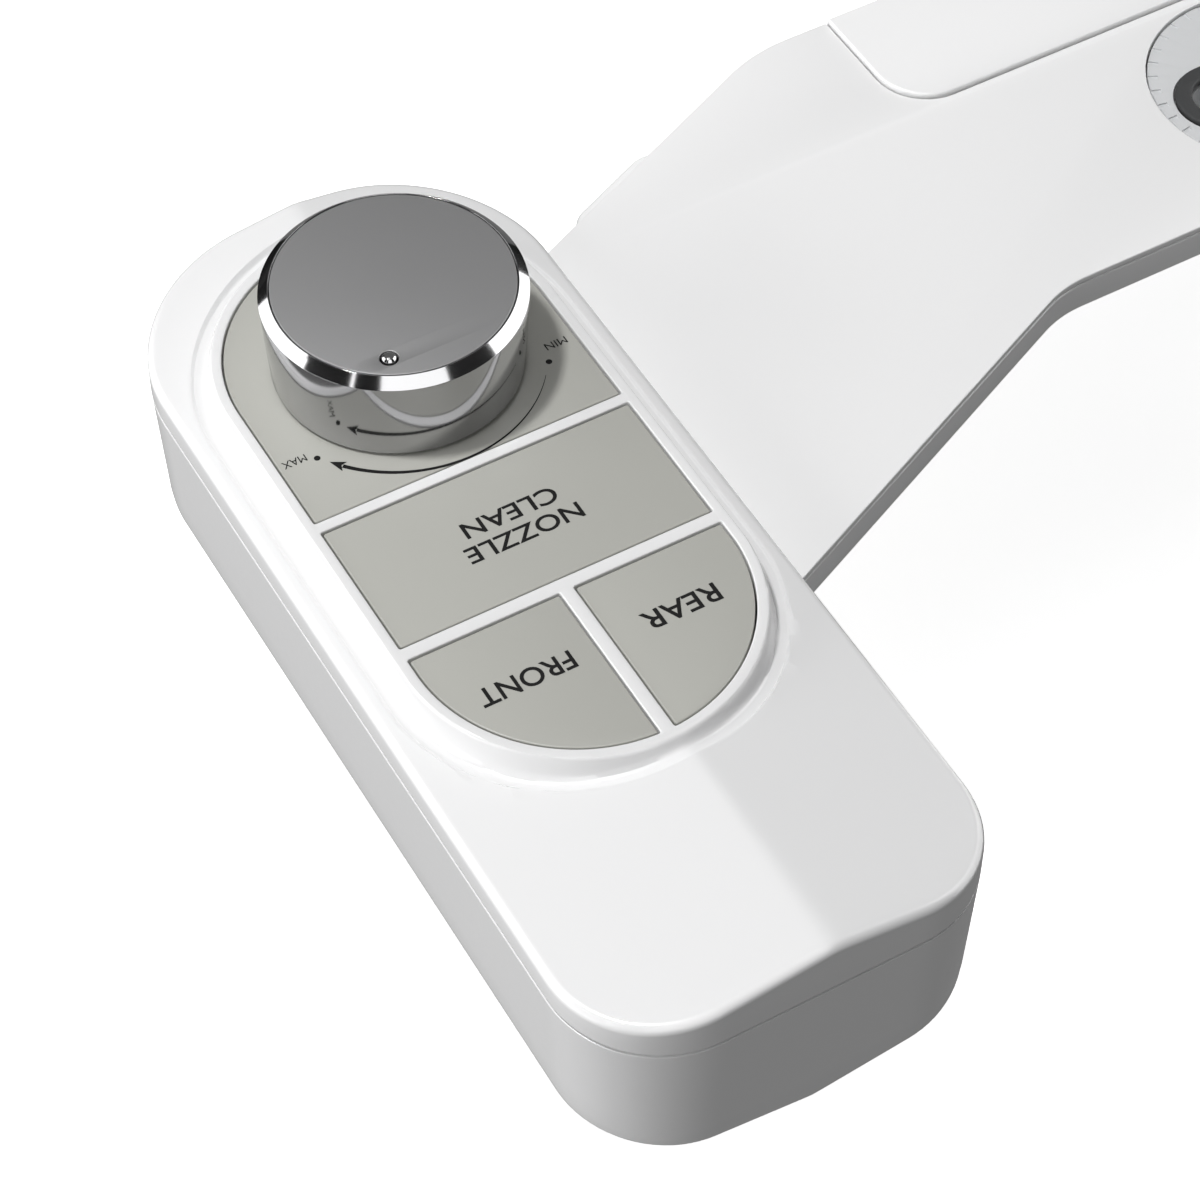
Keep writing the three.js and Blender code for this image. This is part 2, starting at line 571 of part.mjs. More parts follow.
['left', 'right'].forEach((side, i) => {
  const x = BOLT_X[i];
  const slot = (radius) => slab(stadium(radius, x - SLOT_REACH, x + SLOT_REACH, false, 0), -5, 20, 6);
  const disc = turned([
    [0, 0.4], [DISC_NECK, 0.4], [DISC_NECK, 3.5], [DISC_RADIUS, 3.5], [DISC_RADIUS, 6.6], [0, 6.6],
  ], 24, x, 0);
  const recess = slab(stadium(SLOT_RADIUS + 3.3, x - SLOT_REACH, x + SLOT_REACH, false, 0), 5.6, 20, 6);
  piece(object, `mounting_disc_${side}`, cut(disc, slot(SLOT_RADIUS), recess), innerPlastic());
  const pad = slab(stadium(SLOT_RADIUS + 3, x - SLOT_REACH, x + SLOT_REACH, false, 0), 5.9, 7.4, 6);
  piece(object, `bolt_washer_${side}`, cut(pad, slot(SLOT_RADIUS + 0.2)), rubber());
});

// ---- Water inlet --------------------------------------------------------------------------------

piece(object, 'inlet_nipple', turned([
  [5.4, -26], [9.4, -26], [10.4, -25], [10.4, -13], [9, -12.2], [12, -12.2], [12, -9.3],
  [6.7, -9.3], [6.7, 1.3], [3.4, 1.3], [3.4, -10], [5.4, -10], [5.4, -26],
], 16, INLET.x, INLET.y), brass());
piece(object, 'inlet_filter', ring(1.2, 5.1, -16, -14.5, 12, INLET.x, INLET.y), steel());

// ---- Hoses --------------------------------------------------------------------------------------

// A run from the manifold's back face, round the valve, along the arm, behind the left disc and
// down to the nozzle housing. The first points are in the control box's frame.
function nozzleHose(inBox, laneY, endX) {
  const start = inBox.map(([x, y, z]) => [x + CONTROL.x, y + CONTROL.y, z + CONTROL.z]);
  const [lastX, lastY] = start[start.length - 1];
  const armPoint = (run) => [lastX + run, lastY + run * ARM_SLOPE, TROUGH_Z];
  return hose([
    ...start, armPoint(4), armPoint(30), armPoint(56), [-105, laneY, TROUGH_Z],
    [-70, laneY, TROUGH_Z], [-40, laneY, TROUGH_Z], [endX - 8, laneY - 3, TROUGH_Z],
    [endX, 20, TROUGH_Z], [endX, 8, TROUGH_Z - 0.3], [endX, 0, -2.5], [endX, -5.5, -7.4],
    [endX, -11.6, -11.9],
  ], 34);
}
piece(object, 'front_hose', nozzleHose([
  [14, 31.4, -21], [14.3, 34, -20.7], [18.5, 37.6, -18.4], [24, 39.2, -15.4], [29.5, 40.4, -14.05],
], 27.5, -15), hosePlastic());
piece(object, 'clean_hose', nozzleHose([
  [7.5, 31.4, -21], [7.9, 34.6, -20.7], [13, 41, -18.4], [21, 44.6, -15.6], [29, 46.4, -14.05],
], 31.5, -8), hosePlastic());
piece(object, 'rear_hose', nozzleHose([
  [1, 31.4, -21], [1.6, 34.4, -20.8], [7, 41, -19.6], [16.5, 48.2, -16.6], [28, 52.6, -14.05],
], 35.5, 14), hosePlastic());
piece(object, 'supply_hose', hose([
  [INLET.x - 7.4, INLET.y - 4, TROUGH_Z], [INLET.x - 14, INLET.y - 8, TROUGH_Z],
  [ARM_INNER_X + 4, 13, TROUGH_Z], [ARM_INNER_X - 3, 10.4, TROUGH_Z - 0.6],
  [ARM_INNER_X - 8, 8.6, -2.4], [CONTROL.x + 18.5, 7, -4.6], [CONTROL.x + 16, 7, -4.6],
], 16), hosePlastic());
piece(control, 'transfer_hose', hose([
  [-5, 39.2, -22], [-5, 36.6, -22], [-5, 34, -22.2], [-5, 31.4, -22.2],
], 6), hosePlastic());

// ---- Nozzle unit (in its own tilted frame: -Y is the way the nozzles come out) -------------------

const GUARD_HINGE_Y = -NOZZLE_LENGTH - 3.2;
const NOZZLE_SIDES = { front: -NOZZLE_X, rear: NOZZLE_X };
const CHANNEL_RADIUS = 6.5;
const along = (geometry) => geometry.rotateX(Math.PI / 2); // turns +Z into -Y
const nozzleTurned = (profile, segments, x) =>
  along(turned(profile, segments)).translate(x, 0, NOZZLE_AXIS_Z);

function nozzleHousing() {
  const body = block(-22, 22, -NOZZLE_LENGTH, 0, -NOZZLE_DEPTH, 0);
  const channels = Object.values(NOZZLE_SIDES).map((x) => nozzleTurned(
    [[0, 3], [CHANNEL_RADIUS, 3], [CHANNEL_RADIUS, 53], [NOZZLE_RADIUS + GAP, 53],
      [NOZZLE_RADIUS + GAP, 70], [0, 70]], 14, x));
  const ports = Object.values(NOZZLE_SIDES).map((x) => nozzleTurned(
    [[0, -5], [1.2, -5], [1.2, 5], [0, 5]], 8, x));
  const bore = (x) => turned([[0, -30], [1.6, -30], [1.6, 30], [0, 30]], 8).rotateY(Math.PI / 2)
    .translate(x, GUARD_HINGE_Y, 1);
  const cheeks = [-20.5, 20.5].map((x) =>
    block(x - 1.5, x + 1.5, GUARD_HINGE_Y - 3.3, GUARD_HINGE_Y + 10, -6, 4));
  const shell = cut(join(body, ...cheeks), ...channels, ...ports);
  return cut(shell, bore(0));
}

// The wedge that carries the housing under the plate, drawn level and then tilted with it.
const wedgeLine = (y) => (y - NOZZLE_HINGE.y) * Math.tan(NOZZLE_TILT) + NOZZLE_HINGE.z;
const wedge = crossBeam([
  [-17, -GAP], [-41, -GAP], [-41, wedgeLine(-41) - 2], [NOZZLE_HINGE.y, NOZZLE_HINGE.z - 2],
], 28).translate(0, -NOZZLE_HINGE.y, -NOZZLE_HINGE.z).rotateX(-NOZZLE_TILT);
const nozzleScrewBores = NOZZLE_SCREWS.map(([x, y]) => rod(1.3, -14, 5, 8, x, y)
  .translate(0, -NOZZLE_HINGE.y, -NOZZLE_HINGE.z).rotateX(-NOZZLE_TILT));
const wedgeBody = common(wedge, block(-28, 28, -80, 30, -2, 60));
piece(nozzleUnit, 'nozzle_housing',
  cut(join(nozzleHousing(), wedgeBody), ...nozzleScrewBores), innerPlastic());
NOZZLE_SCREWS.forEach(([x, y], i) => {
  piece(object, `nozzle_screw_${i + 1}`, screw(x, y, 3.4, -9, 2.8, 1, 1.8), steel());
});

Object.entries(NOZZLE_SIDES).forEach(([side, x]) => {
  piece(nozzleUnit, `${side}_nozzle`, nozzleTurned([
    [1.4, 5], [6.2, 5], [6.2, 9], [NOZZLE_RADIUS, 9], [NOZZLE_RADIUS, 60], [1.4, 60], [1.4, 5],
  ], 14, x), innerPlastic());
  const tip = nozzleTurned([[0, 60.3], [4.2, 60.3], [4.6, 62], [4.6, 66], [3.4, 68], [0, 68]], 12, x);
  const jet = rod(0.7, NOZZLE_AXIS_Z + 2, 5, 8, x, -64);
  piece(nozzleUnit, `${side}_nozzle_tip`, cut(tip, jet), innerPlastic());
  const coil = along(spring(5.1, 0.5, 9.3, 52.7, 6)).translate(x, 0, NOZZLE_AXIS_Z);
  piece(nozzleUnit, `${side}_nozzle_spring`, coil, steel());
});

function nozzleGuard() {
  const leaf = block(-18.6, 18.6, GUARD_HINGE_Y - 20, GUARD_HINGE_Y + 0.5, 1.4, 3.2);
  const lip = block(-18.6, 18.6, GUARD_HINGE_Y - 20, GUARD_HINGE_Y - 18.2, -3.5, 2);
  const barrel = rod(2.6, -18.6, 18.6, 12).rotateY(Math.PI / 2).translate(0, GUARD_HINGE_Y, 1);
  const hole = rod(1.6, -30, 30, 10).rotateY(Math.PI / 2).translate(0, GUARD_HINGE_Y, 1);
  return cut(join(leaf, lip, barrel), hole);
}
piece(nozzleUnit, 'nozzle_guard', nozzleGuard(), innerPlastic());
piece(nozzleUnit, 'guard_pin',
  rod(1.25, -21.9, 21.9, 10).rotateY(Math.PI / 2).translate(0, GUARD_HINGE_Y, 1), steel());

export default object;
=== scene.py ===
"""Looks of a slim bidet attachment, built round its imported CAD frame.

Shapes are drawn in millimetres. The control box has its own frame: the origin is the centre of the
panel's near round end, level with the top of the raised rim. Everything else uses the row frame.
"""

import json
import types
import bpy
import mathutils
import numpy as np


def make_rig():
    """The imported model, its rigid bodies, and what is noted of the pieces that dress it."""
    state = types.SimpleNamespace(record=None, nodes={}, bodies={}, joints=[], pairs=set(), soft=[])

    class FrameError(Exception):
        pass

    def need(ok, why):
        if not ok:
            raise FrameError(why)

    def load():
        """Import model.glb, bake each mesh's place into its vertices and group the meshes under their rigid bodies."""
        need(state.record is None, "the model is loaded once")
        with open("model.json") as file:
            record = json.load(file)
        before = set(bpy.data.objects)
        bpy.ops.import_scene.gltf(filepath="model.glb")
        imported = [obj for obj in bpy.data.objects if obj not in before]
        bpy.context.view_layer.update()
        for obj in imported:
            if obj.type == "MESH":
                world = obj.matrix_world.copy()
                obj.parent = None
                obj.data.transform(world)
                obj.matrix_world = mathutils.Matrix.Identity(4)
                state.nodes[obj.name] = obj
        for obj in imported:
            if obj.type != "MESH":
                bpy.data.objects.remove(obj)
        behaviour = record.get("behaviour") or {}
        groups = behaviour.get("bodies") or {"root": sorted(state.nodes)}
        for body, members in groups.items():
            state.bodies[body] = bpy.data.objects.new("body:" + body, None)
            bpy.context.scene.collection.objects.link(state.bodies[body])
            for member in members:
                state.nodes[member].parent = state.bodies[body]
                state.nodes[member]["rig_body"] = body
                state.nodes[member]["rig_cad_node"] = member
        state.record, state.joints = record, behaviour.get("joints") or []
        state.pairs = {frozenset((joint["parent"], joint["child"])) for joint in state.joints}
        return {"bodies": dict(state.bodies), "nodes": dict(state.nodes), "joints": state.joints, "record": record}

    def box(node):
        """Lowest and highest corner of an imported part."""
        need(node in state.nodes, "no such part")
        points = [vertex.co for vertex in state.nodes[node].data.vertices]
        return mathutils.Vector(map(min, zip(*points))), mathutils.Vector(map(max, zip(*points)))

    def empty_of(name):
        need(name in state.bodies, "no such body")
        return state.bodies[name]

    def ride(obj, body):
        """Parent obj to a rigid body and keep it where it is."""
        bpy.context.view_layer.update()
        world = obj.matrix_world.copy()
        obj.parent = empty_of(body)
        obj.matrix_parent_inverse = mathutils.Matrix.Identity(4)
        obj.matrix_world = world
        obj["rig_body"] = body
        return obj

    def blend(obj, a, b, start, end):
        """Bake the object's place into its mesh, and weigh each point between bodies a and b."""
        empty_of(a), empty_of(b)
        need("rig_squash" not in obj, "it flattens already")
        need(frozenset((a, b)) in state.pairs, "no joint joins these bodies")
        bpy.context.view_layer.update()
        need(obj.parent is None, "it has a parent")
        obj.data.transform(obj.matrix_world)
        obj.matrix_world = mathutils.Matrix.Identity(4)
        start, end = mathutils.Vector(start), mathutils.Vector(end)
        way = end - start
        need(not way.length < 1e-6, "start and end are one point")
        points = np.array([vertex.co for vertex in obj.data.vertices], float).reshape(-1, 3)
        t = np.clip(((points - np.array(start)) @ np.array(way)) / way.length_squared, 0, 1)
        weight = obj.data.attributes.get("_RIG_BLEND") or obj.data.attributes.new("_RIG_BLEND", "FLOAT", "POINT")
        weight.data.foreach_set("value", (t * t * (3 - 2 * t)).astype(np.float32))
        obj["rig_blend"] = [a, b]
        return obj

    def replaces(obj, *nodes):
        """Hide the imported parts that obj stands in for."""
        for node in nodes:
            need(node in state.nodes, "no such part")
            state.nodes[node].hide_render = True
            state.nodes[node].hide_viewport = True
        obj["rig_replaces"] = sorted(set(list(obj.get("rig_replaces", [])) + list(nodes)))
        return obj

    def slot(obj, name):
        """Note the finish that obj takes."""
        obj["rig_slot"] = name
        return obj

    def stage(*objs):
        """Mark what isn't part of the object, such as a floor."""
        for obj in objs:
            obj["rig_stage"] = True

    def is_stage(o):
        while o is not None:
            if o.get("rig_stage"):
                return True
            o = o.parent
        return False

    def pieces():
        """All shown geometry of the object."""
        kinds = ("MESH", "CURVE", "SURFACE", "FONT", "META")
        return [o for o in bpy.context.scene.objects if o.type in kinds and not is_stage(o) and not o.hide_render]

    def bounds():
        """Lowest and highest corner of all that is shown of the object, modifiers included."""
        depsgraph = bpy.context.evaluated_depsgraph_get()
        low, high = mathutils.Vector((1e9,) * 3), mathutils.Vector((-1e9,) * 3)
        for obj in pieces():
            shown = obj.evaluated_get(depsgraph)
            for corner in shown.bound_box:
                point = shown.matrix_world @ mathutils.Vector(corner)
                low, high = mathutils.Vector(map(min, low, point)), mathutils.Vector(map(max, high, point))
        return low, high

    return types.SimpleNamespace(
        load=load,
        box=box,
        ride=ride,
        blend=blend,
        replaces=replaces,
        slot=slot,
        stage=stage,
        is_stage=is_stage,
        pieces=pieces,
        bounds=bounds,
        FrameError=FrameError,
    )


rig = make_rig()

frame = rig.load()

import json
import math

import bmesh
import bpy
from mathutils import Matrix, Vector

cad_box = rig.bounds()
slot_of = {entry["node"]: entry["material_slot"] for entry in frame["record"]["subparts"]}
MM = 0.001

# ---- Sizes ---------------------------------------------------------------------------------------

cover_low, cover_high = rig.box("control_cover")
BOX_NEAR = -68.4  # near face of the box
CONTROL = Vector((
    (cover_low.x + cover_high.x) / 2 / MM,
    cover_low.y / MM - BOX_NEAR,
    cover_high.z / MM,
))

FIELD = 26.0  # half-width of the grey field
SPAN = 57.0  # between the centres of its round ends
KNOB_Y = 55.0
KNOB_TOP = 16.6
KNOB_RADIUS = 20.3  # under the bevel
KNOB_FOOT = 19.5
KNOB_BEVEL = 1.55
KNOB_RECESS = KNOB_TOP - 1.2  # floor of the recess that holds the top disc
KNOB_WEB = (11.2, 13.2)
STUD_RADIUS = 1.15
STUD_REACH, STUD_ANGLE = 15.2, math.radians(-120)
RIM = 27.8  # outside of the raised rim
RIM_SEAM = 26.9  # where the rim's surface meets the ribs' surface
RIB_A = (3.0, 5.2)
RIB_B = (30.1, 32.0)
RIB_HALF = 1.1
GAP = 0.3
FIELD_TOP = -0.2
CORNER = 0.35  # radius of the keys' and the dial plate's corners

BOX_HALF = 33.5
BOX_FAR = 94.0
NEAR_RADIUS = 17.5
FAR_RADIUS = 25.0
WALL = 2.3
CREST_X, CREST_Z = 1.5, -0.6
RIM_Z = -5.2
KEEL_Z = -39.3
SIDE_BOTTOM_Z = -34.6
DRAFT = 1.1
COVER_BOTTOM = -10.1
BASE_TOP = -10.6
SKIRT_Z = -8.4  # below the lowest point of the cover's outer roll
COLLAR_Z = -7.2  # foot of the wall inside the rim
ROLL = 1.5  # radius of the cover's outer edge
CREST_SHIFT = 0.0099  # brings one column of the near end onto the crest
SCREW_POSTS = [(-24.0, -56.0), (24.0, -56.0), (-20.5, 84.0), (20.5, 84.0)]

BOLT_X = 70.0
PLATE_TOP = 7.0
SKIN_LOW = PLATE_TOP - 1.2  # underside of the arm's covers
TRAY_FLOOR = 1.2
PLATE_FRONT, PLATE_BACK, PLATE_RIGHT = -23.0, 48.0, 104.0
TONGUE_HALF, TONGUE_FRONT = 30.0, -42.0  # the part of the plate over the nozzle unit
ARM_SLOPE = 0.449
ARM_FRONT_END = (36, -5)  # on the arm's front edge, in the control box's frame
ARM_BACK_END = (37, 73)  # on its back edge
ARM_INNER_X = -199.6
SEAM_X, SEAM_Y = -127.0, 23.0
CENTRE_RAISE = 0.8
DISC_RADIUS = 20.3
DISC_TOP = 6.6
PLATE_SCREWS = [(-112.0, 42.4), (92.0, 40.0), (-176.0, -38.0), (30.0, -16.0)]
NOZZLE_SCREWS = [(-24.0, -34.0), (24.0, -34.0)]
INLET_X, INLET_Y = -172.7, 25.3
NOZZLE_X = 11.0
NOZZLE_FRAME = Matrix.Translation(Vector((0, -18, -4)) * MM) @ Matrix.Rotation(math.radians(35), 4, "X")
VIEW = Vector((0.3097, 0.5453, -0.7790)).normalized()  # the way the camera looks


# ---- Materials -----------------------------------------------------------------------------------

def shader(name, colour, roughness, metallic=0.0, coat=0.0, sheen_spread=0.04,
           grain=900.0, bump=0.02, tint=0.03):
    """A principled material whose colour and roughness vary a little, with a fine surface grain."""
    mat = bpy.data.materials.new(name)
    mat.use_nodes = True
    nodes, links = mat.node_tree.nodes, mat.node_tree.links
    bsdf = nodes["Principled BSDF"]
    bsdf.inputs["Metallic"].default_value = metallic
    bsdf.inputs["Coat Weight"].default_value = coat
    bsdf.inputs["Coat Roughness"].default_value = 0.06
    place = nodes.new("ShaderNodeTexCoord")
    patches = nodes.new("ShaderNodeTexNoise")
    patches.inputs["Scale"].default_value = 35.0
    patches.inputs["Detail"].default_value = 3.0
    links.new(place.outputs["Object"], patches.inputs["Vector"])
    shade = nodes.new("ShaderNodeMix")
    shade.data_type = "RGBA"
    shade.inputs[6].default_value = (*[c * (1 - tint) for c in colour], 1)
    shade.inputs[7].default_value = (*colour, 1)
    links.new(patches.outputs["Fac"], shade.inputs[0])
    links.new(shade.outputs[2], bsdf.inputs["Base Color"])
    fine = nodes.new("ShaderNodeTexNoise")
    fine.inputs["Scale"].default_value = grain
    fine.inputs["Detail"].default_value = 2.0
    links.new(place.outputs["Object"], fine.inputs["Vector"])
    spread = nodes.new("ShaderNodeMapRange")
    spread.inputs["To Min"].default_value = roughness - sheen_spread / 2
    spread.inputs["To Max"].default_value = roughness + sheen_spread / 2
    links.new(fine.outputs["Fac"], spread.inputs["Value"])
    links.new(spread.outputs["Result"], bsdf.inputs["Roughness"])
    if bump:
        relief = nodes.new("ShaderNodeBump")
        relief.inputs["Strength"].default_value = bump
        relief.inputs["Distance"].default_value = 0.0002
        links.new(fine.outputs["Fac"], relief.inputs["Height"])
        links.new(relief.outputs["Normal"], bsdf.inputs["Normal"])
    return mat


MATERIALS = {
    "white_shell": shader("white_shell", (0.80, 0.80, 0.803), 0.24, coat=0.2, tint=0.012, bump=0.015),
    # The arm's white is a lighter copy of the shell's white. Its extra brightness is painted light, standing in for
    # the stronger light on the arm's top.
    "white_arm_painted_light": shader("white_arm_painted_light", (0.92, 0.92, 0.922), 0.26, coat=0.15, tint=0.012, bump=0.015),
    "grey_panel": shader("grey_panel", (0.435, 0.435, 0.402), 0.36, tint=0.05, grain=2600, bump=0.05),
    "chrome": shader("chrome", (0.42, 0.42, 0.425), 0.09, 1.0, sheen_spread=0.02, tint=0.02, bump=0),
    "satin_metal": shader("satin_metal", (0.31, 0.31, 0.313), 0.42, 0.6, grain=5200, bump=0.05),
    "steel": shader("steel", (0.60, 0.61, 0.62), 0.28, 1.0, grain=2500, bump=0.03),
    "brass": shader("brass", (0.72, 0.52, 0.22), 0.26, 1.0, grain=1800, bump=0.03, tint=0.12),
    "rubber": shader("rubber", (0.022, 0.023, 0.024), 0.7, grain=2400, bump=0.12, tint=0.2),
    "ceramic": shader("ceramic", (0.80, 0.78, 0.73), 0.16, coat=0.3, tint=0.02),
    "inner_plastic": shader("inner_plastic", (0.66, 0.67, 0.68), 0.42, grain=1500, bump=0.05),
    "hose": shader("hose", (0.74, 0.78, 0.80), 0.3, coat=0.2, tint=0.05),
}
INK = shader("legend_ink", (0.006, 0.006, 0.006), 0.7, grain=6000, bump=0.05, tint=0.3)
INK.node_tree.nodes["Principled BSDF"].inputs["Specular IOR Level"].default_value = 0.15


# ---- Mesh helpers --------------------------------------------------------------------------------

def welded(mesh):
    """The mesh as an editable copy: no double points, and every face turned outwards."""
    work = bmesh.new()
    work.from_mesh(mesh)
    bmesh.ops.remove_doubles(work, verts=work.verts, dist=1e-7)
    bmesh.ops.dissolve_degenerate(work, edges=work.edges, dist=1e-8)
    bmesh.ops.recalc_face_normals(work, faces=work.faces)
    return work


def new_object(name, mesh, material, sharp_degrees=32.0):
    """A smooth-shaded object whose edges are sharp above an angle."""
    work = welded(mesh)
    limit = math.radians(sharp_degrees)
    for face in work.faces:
        face.smooth = True
    for edge in work.edges:
        if len(edge.link_faces) == 2 and edge.calc_face_angle(0.0) > limit:
            edge.smooth = False
    work.to_mesh(mesh)
    work.free()
    mesh.materials.clear()
    mesh.materials.append(material)
    obj = bpy.data.objects.new(name, mesh)
    bpy.context.scene.collection.objects.link(obj)
    return obj


def mesh_of(points, faces, origin=Vector((0, 0, 0))):
    """A mesh from points in millimetres, moved to origin."""
    mesh = bpy.data.meshes.new("mesh")
    mesh.from_pydata([(Vector(p) + origin) * MM for p in points], [], faces)
    return mesh


def skin(rows, loop_rows=False, capped=False, open_after=None):
    """Points and faces of a surface through rows of points. Each row is a closed ring. A capped
    surface has a flat face on its first and last rows. The row numbered open_after isn't joined to
    the next one."""
    count = len(rows[0])
    points = [p for row in rows for p in row]
    faces = []
    pairs = len(rows) if loop_rows else len(rows) - 1
    for j in range(pairs):
        if j == open_after:
            continue
        a, b = j * count, ((j + 1) % len(rows)) * count
        for i in range(count):
            k = (i + 1) % count
            faces.append((a + i, a + k, b + k, b + i))
    if capped:
        faces.append(tuple(range(count)))
        faces.append(tuple(range((len(rows) - 1) * count, len(rows) * count)))
    return points, faces


def soften(points, radius, steps=4, closed=False):
    """The 2-D polyline with each corner rounded. A point may carry its own radius."""
    result = []
    last = len(points) - 1
    for i, point in enumerate(points):
        reach = point[2] if len(point) > 2 else radius
        if (i in (0, last) and not closed) or reach <= 0:
            result.append((point[0], point[1]))
            continue
        corner = Vector(point[:2])
        before = Vector(points[i - 1][:2]) - corner
        after = Vector(points[(i + 1) % len(points)][:2]) - corner
        half = before.angle(after, math.pi) / 2
        if before.length < 1e-9 or after.length < 1e-9 or half > math.radians(89):
            result.append((point[0], point[1]))
            continue
        run = min(reach / math.tan(half), before.length * 0.49, after.length * 0.49)
        real = run * math.tan(half)
        bisector = (before.normalized() + after.normalized()).normalized()
        centre = corner + bisector * (real / math.sin(half))
        start = corner + before.normalized() * run - centre
        end = corner + after.normalized() * run - centre
        sweep = start.angle_signed(end)
        for k in range(steps + 1):
            spoke = start.copy()
            spoke.rotate(Matrix.Rotation(-sweep * k / steps, 2))
            result.append(tuple(centre + spoke))
    return result


def ring(radius, z, segments, x=0.0, y=0.0):
    """One level circle of points."""
    angles = [math.tau * i / segments for i in range(segments)]
    return [(x + radius * math.cos(angle), y + radius * math.sin(angle), z) for angle in angles]


def lathe(profile, segments, x=0.0, y=0.0, capped=False):
    """Points and faces of a profile of (radius, z) pairs turned about a vertical line."""
    return skin([ring(radius, z, segments, x, y) for radius, z in profile], capped=capped)


def rod(radius, low, high, x=0.0, y=0.0, segments=48):
    """An upright cylinder."""
    return mesh_of(*lathe([(radius, low), (radius, high)], segments, x, y, capped=True))


def baked(name, curve):
    """The mesh of a curve or a text."""
    holder = bpy.data.objects.new(name, curve)
    bpy.context.scene.collection.objects.link(holder)
    bpy.context.view_layer.update()
    mesh = bpy.data.meshes.new_from_object(holder.evaluated_get(bpy.context.evaluated_depsgraph_get()))
    bpy.data.objects.remove(holder)
    return mesh


def plate(name, outlines, low, high, bevel, steps=3):
    """A flat piece with rounded edges. The first outline is its rim, the others are holes."""
    curve = bpy.data.curves.new(name, "CURVE")
    curve.dimensions = "2D"
    curve.fill_mode = "BOTH"
    curve.extrude = (high - low) / 2 * MM - bevel * MM
    curve.bevel_depth = bevel * MM
    curve.bevel_resolution = steps
    curve.offset = -bevel * MM
    for outline in outlines:
        spline = curve.splines.new("POLY")
        spline.points.add(len(outline) - 1)
        for point, (x, y) in zip(spline.points, outline):
            point.co = (x * MM, y * MM, 0, 1)
        spline.use_cyclic_u = True
    mesh = baked(name, curve)
    mesh.transform(Matrix.Translation((0, 0, (low + high) / 2 * MM)))
    return mesh


def merged(meshes):
    """Several meshes as one."""
    work = bmesh.new()
    for mesh in meshes:
        work.from_mesh(mesh)
    result = bpy.data.meshes.new("merged")
    work.to_mesh(result)
    work.free()
    return result


def holder_of(mesh):
    """An object that holds the welded mesh for a boolean step."""
    work = welded(mesh)
    work.to_mesh(mesh)
    work.free()
    obj = bpy.data.objects.new("holder", mesh)
    bpy.context.scene.collection.objects.link(obj)
    return obj


def combined(mesh, steps):
    """The mesh with other closed meshes added to it or taken out of it, in order."""
    body = holder_of(mesh)
    helpers = []
    for operation, other in steps:
        tool = holder_of(other)
        modifier = body.modifiers.new("step", "BOOLEAN")
        modifier.operation = operation
        modifier.object = tool
        modifier.solver = "MANIFOLD"
        helpers.append(tool)
    bpy.context.view_layer.update()
    result = bpy.data.meshes.new_from_object(body.evaluated_get(bpy.context.evaluated_depsgraph_get()))
    for obj in [body, *helpers]:
        bpy.data.objects.remove(obj)
    return result


def in_control(mesh):
    """Moves a mesh drawn in the control box's frame to its place."""
    mesh.transform(Matrix.Translation(CONTROL * MM))
    return mesh


def piece(name, mesh, slot, body, nodes, sharp_degrees=32.0, look=None):
    """A finished piece: its material, the body it rides on and the CAD nodes it stands for."""
    obj = new_object(name, mesh, MATERIALS[look or slot], sharp_degrees)
    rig.ride(obj, body)
    if nodes:
        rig.replaces(obj, *nodes)
    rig.slot(obj, slot)
    return obj


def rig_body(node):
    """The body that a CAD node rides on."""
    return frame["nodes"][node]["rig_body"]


# ---- Outlines ------------------------------------------------------------------------------------

def arc(x, y, radius, start, end, steps):
    """Points along an arc, in degrees."""
    return [
        (x + radius * math.cos(math.radians(start + (end - start) * i / steps)),
         y + radius * math.sin(math.radians(start + (end - start) * i / steps)))
        for i in range(steps + 1)
    ]


def stadium(radius, low, high, steps=48):
    """A long hole's outline along Y, between the centres of its round ends."""
    return arc(0, high, radius, 0, 180, steps) + arc(0, low, radius, 180, 360, steps)


def key_outline(kind, margin):
    """One key cap's outline, moved inwards by margin."""
    edge = FIELD - margin
    if kind == "clean":
        low, high = RIB_A[1] + margin, RIB_B[0] - margin
        return soften([(-edge, low), (edge, low), (edge, high), (-edge, high)], CORNER, 3, closed=True)
    side = RIB_HALF + margin
    high = RIB_A[0] - margin
    stop = 270 - math.degrees(math.asin(side / edge))
    curve = [(*p, 0) for p in arc(0, 0, edge, 180, stop, 36)]
    curve[-1] = (*curve[-1][:2], CORNER)
    left = soften([(-side, high), (-edge, high), *curve], CORNER, 3, closed=True)
    return left if kind == "front" else [(-x, y) for x, y in reversed(left)]


def dial_outline(margin):
    """The dial plate's outline, moved inwards by margin."""
    edge = FIELD - margin
    low = RIB_B[1] + margin
    curve = [(*p, 0) for p in arc(0, SPAN, edge, 0, 180, 60)]
    return soften([(-edge, low), (edge, low), *curve], CORNER, 3, closed=True)


def circle(radius, x=0.0, y=0.0, steps=48):
    """A circle's outline."""
    return arc(x, y, radius, 0, 360 * (steps - 1) / steps, steps - 1)


# ---- Control box: cover --------------------------------------------------------------------------

def box_columns():
    """For each column of the cover's and the base's skin: a point on the stadium's core and its
    angle, a point on the box's outline, and the outline's outward direction there."""
    columns = []
    for (point, normal), share in outline_run(-1):
        angle = math.pi + math.pi * (share + CREST_SHIFT * (1 - abs(2 * share - 1)))
        columns.append(((0.0, 0.0), angle, point, normal))
    for y in side_steps():
        columns.append(((0.0, y), 0.0, (BOX_HALF, y), (1.0, 0.0)))
    for (point, normal), share in outline_run(1):
        columns.append(((0.0, SPAN), math.pi * share, point, normal))
    for y in reversed(side_steps()):
        columns.append(((0.0, y), math.pi, (-BOX_HALF, y), (-1.0, 0.0)))
    return columns


def side_steps():
    """Where the columns stand along each straight side."""
    count = 24
    return [SPAN * i / count for i in range(1, count)]


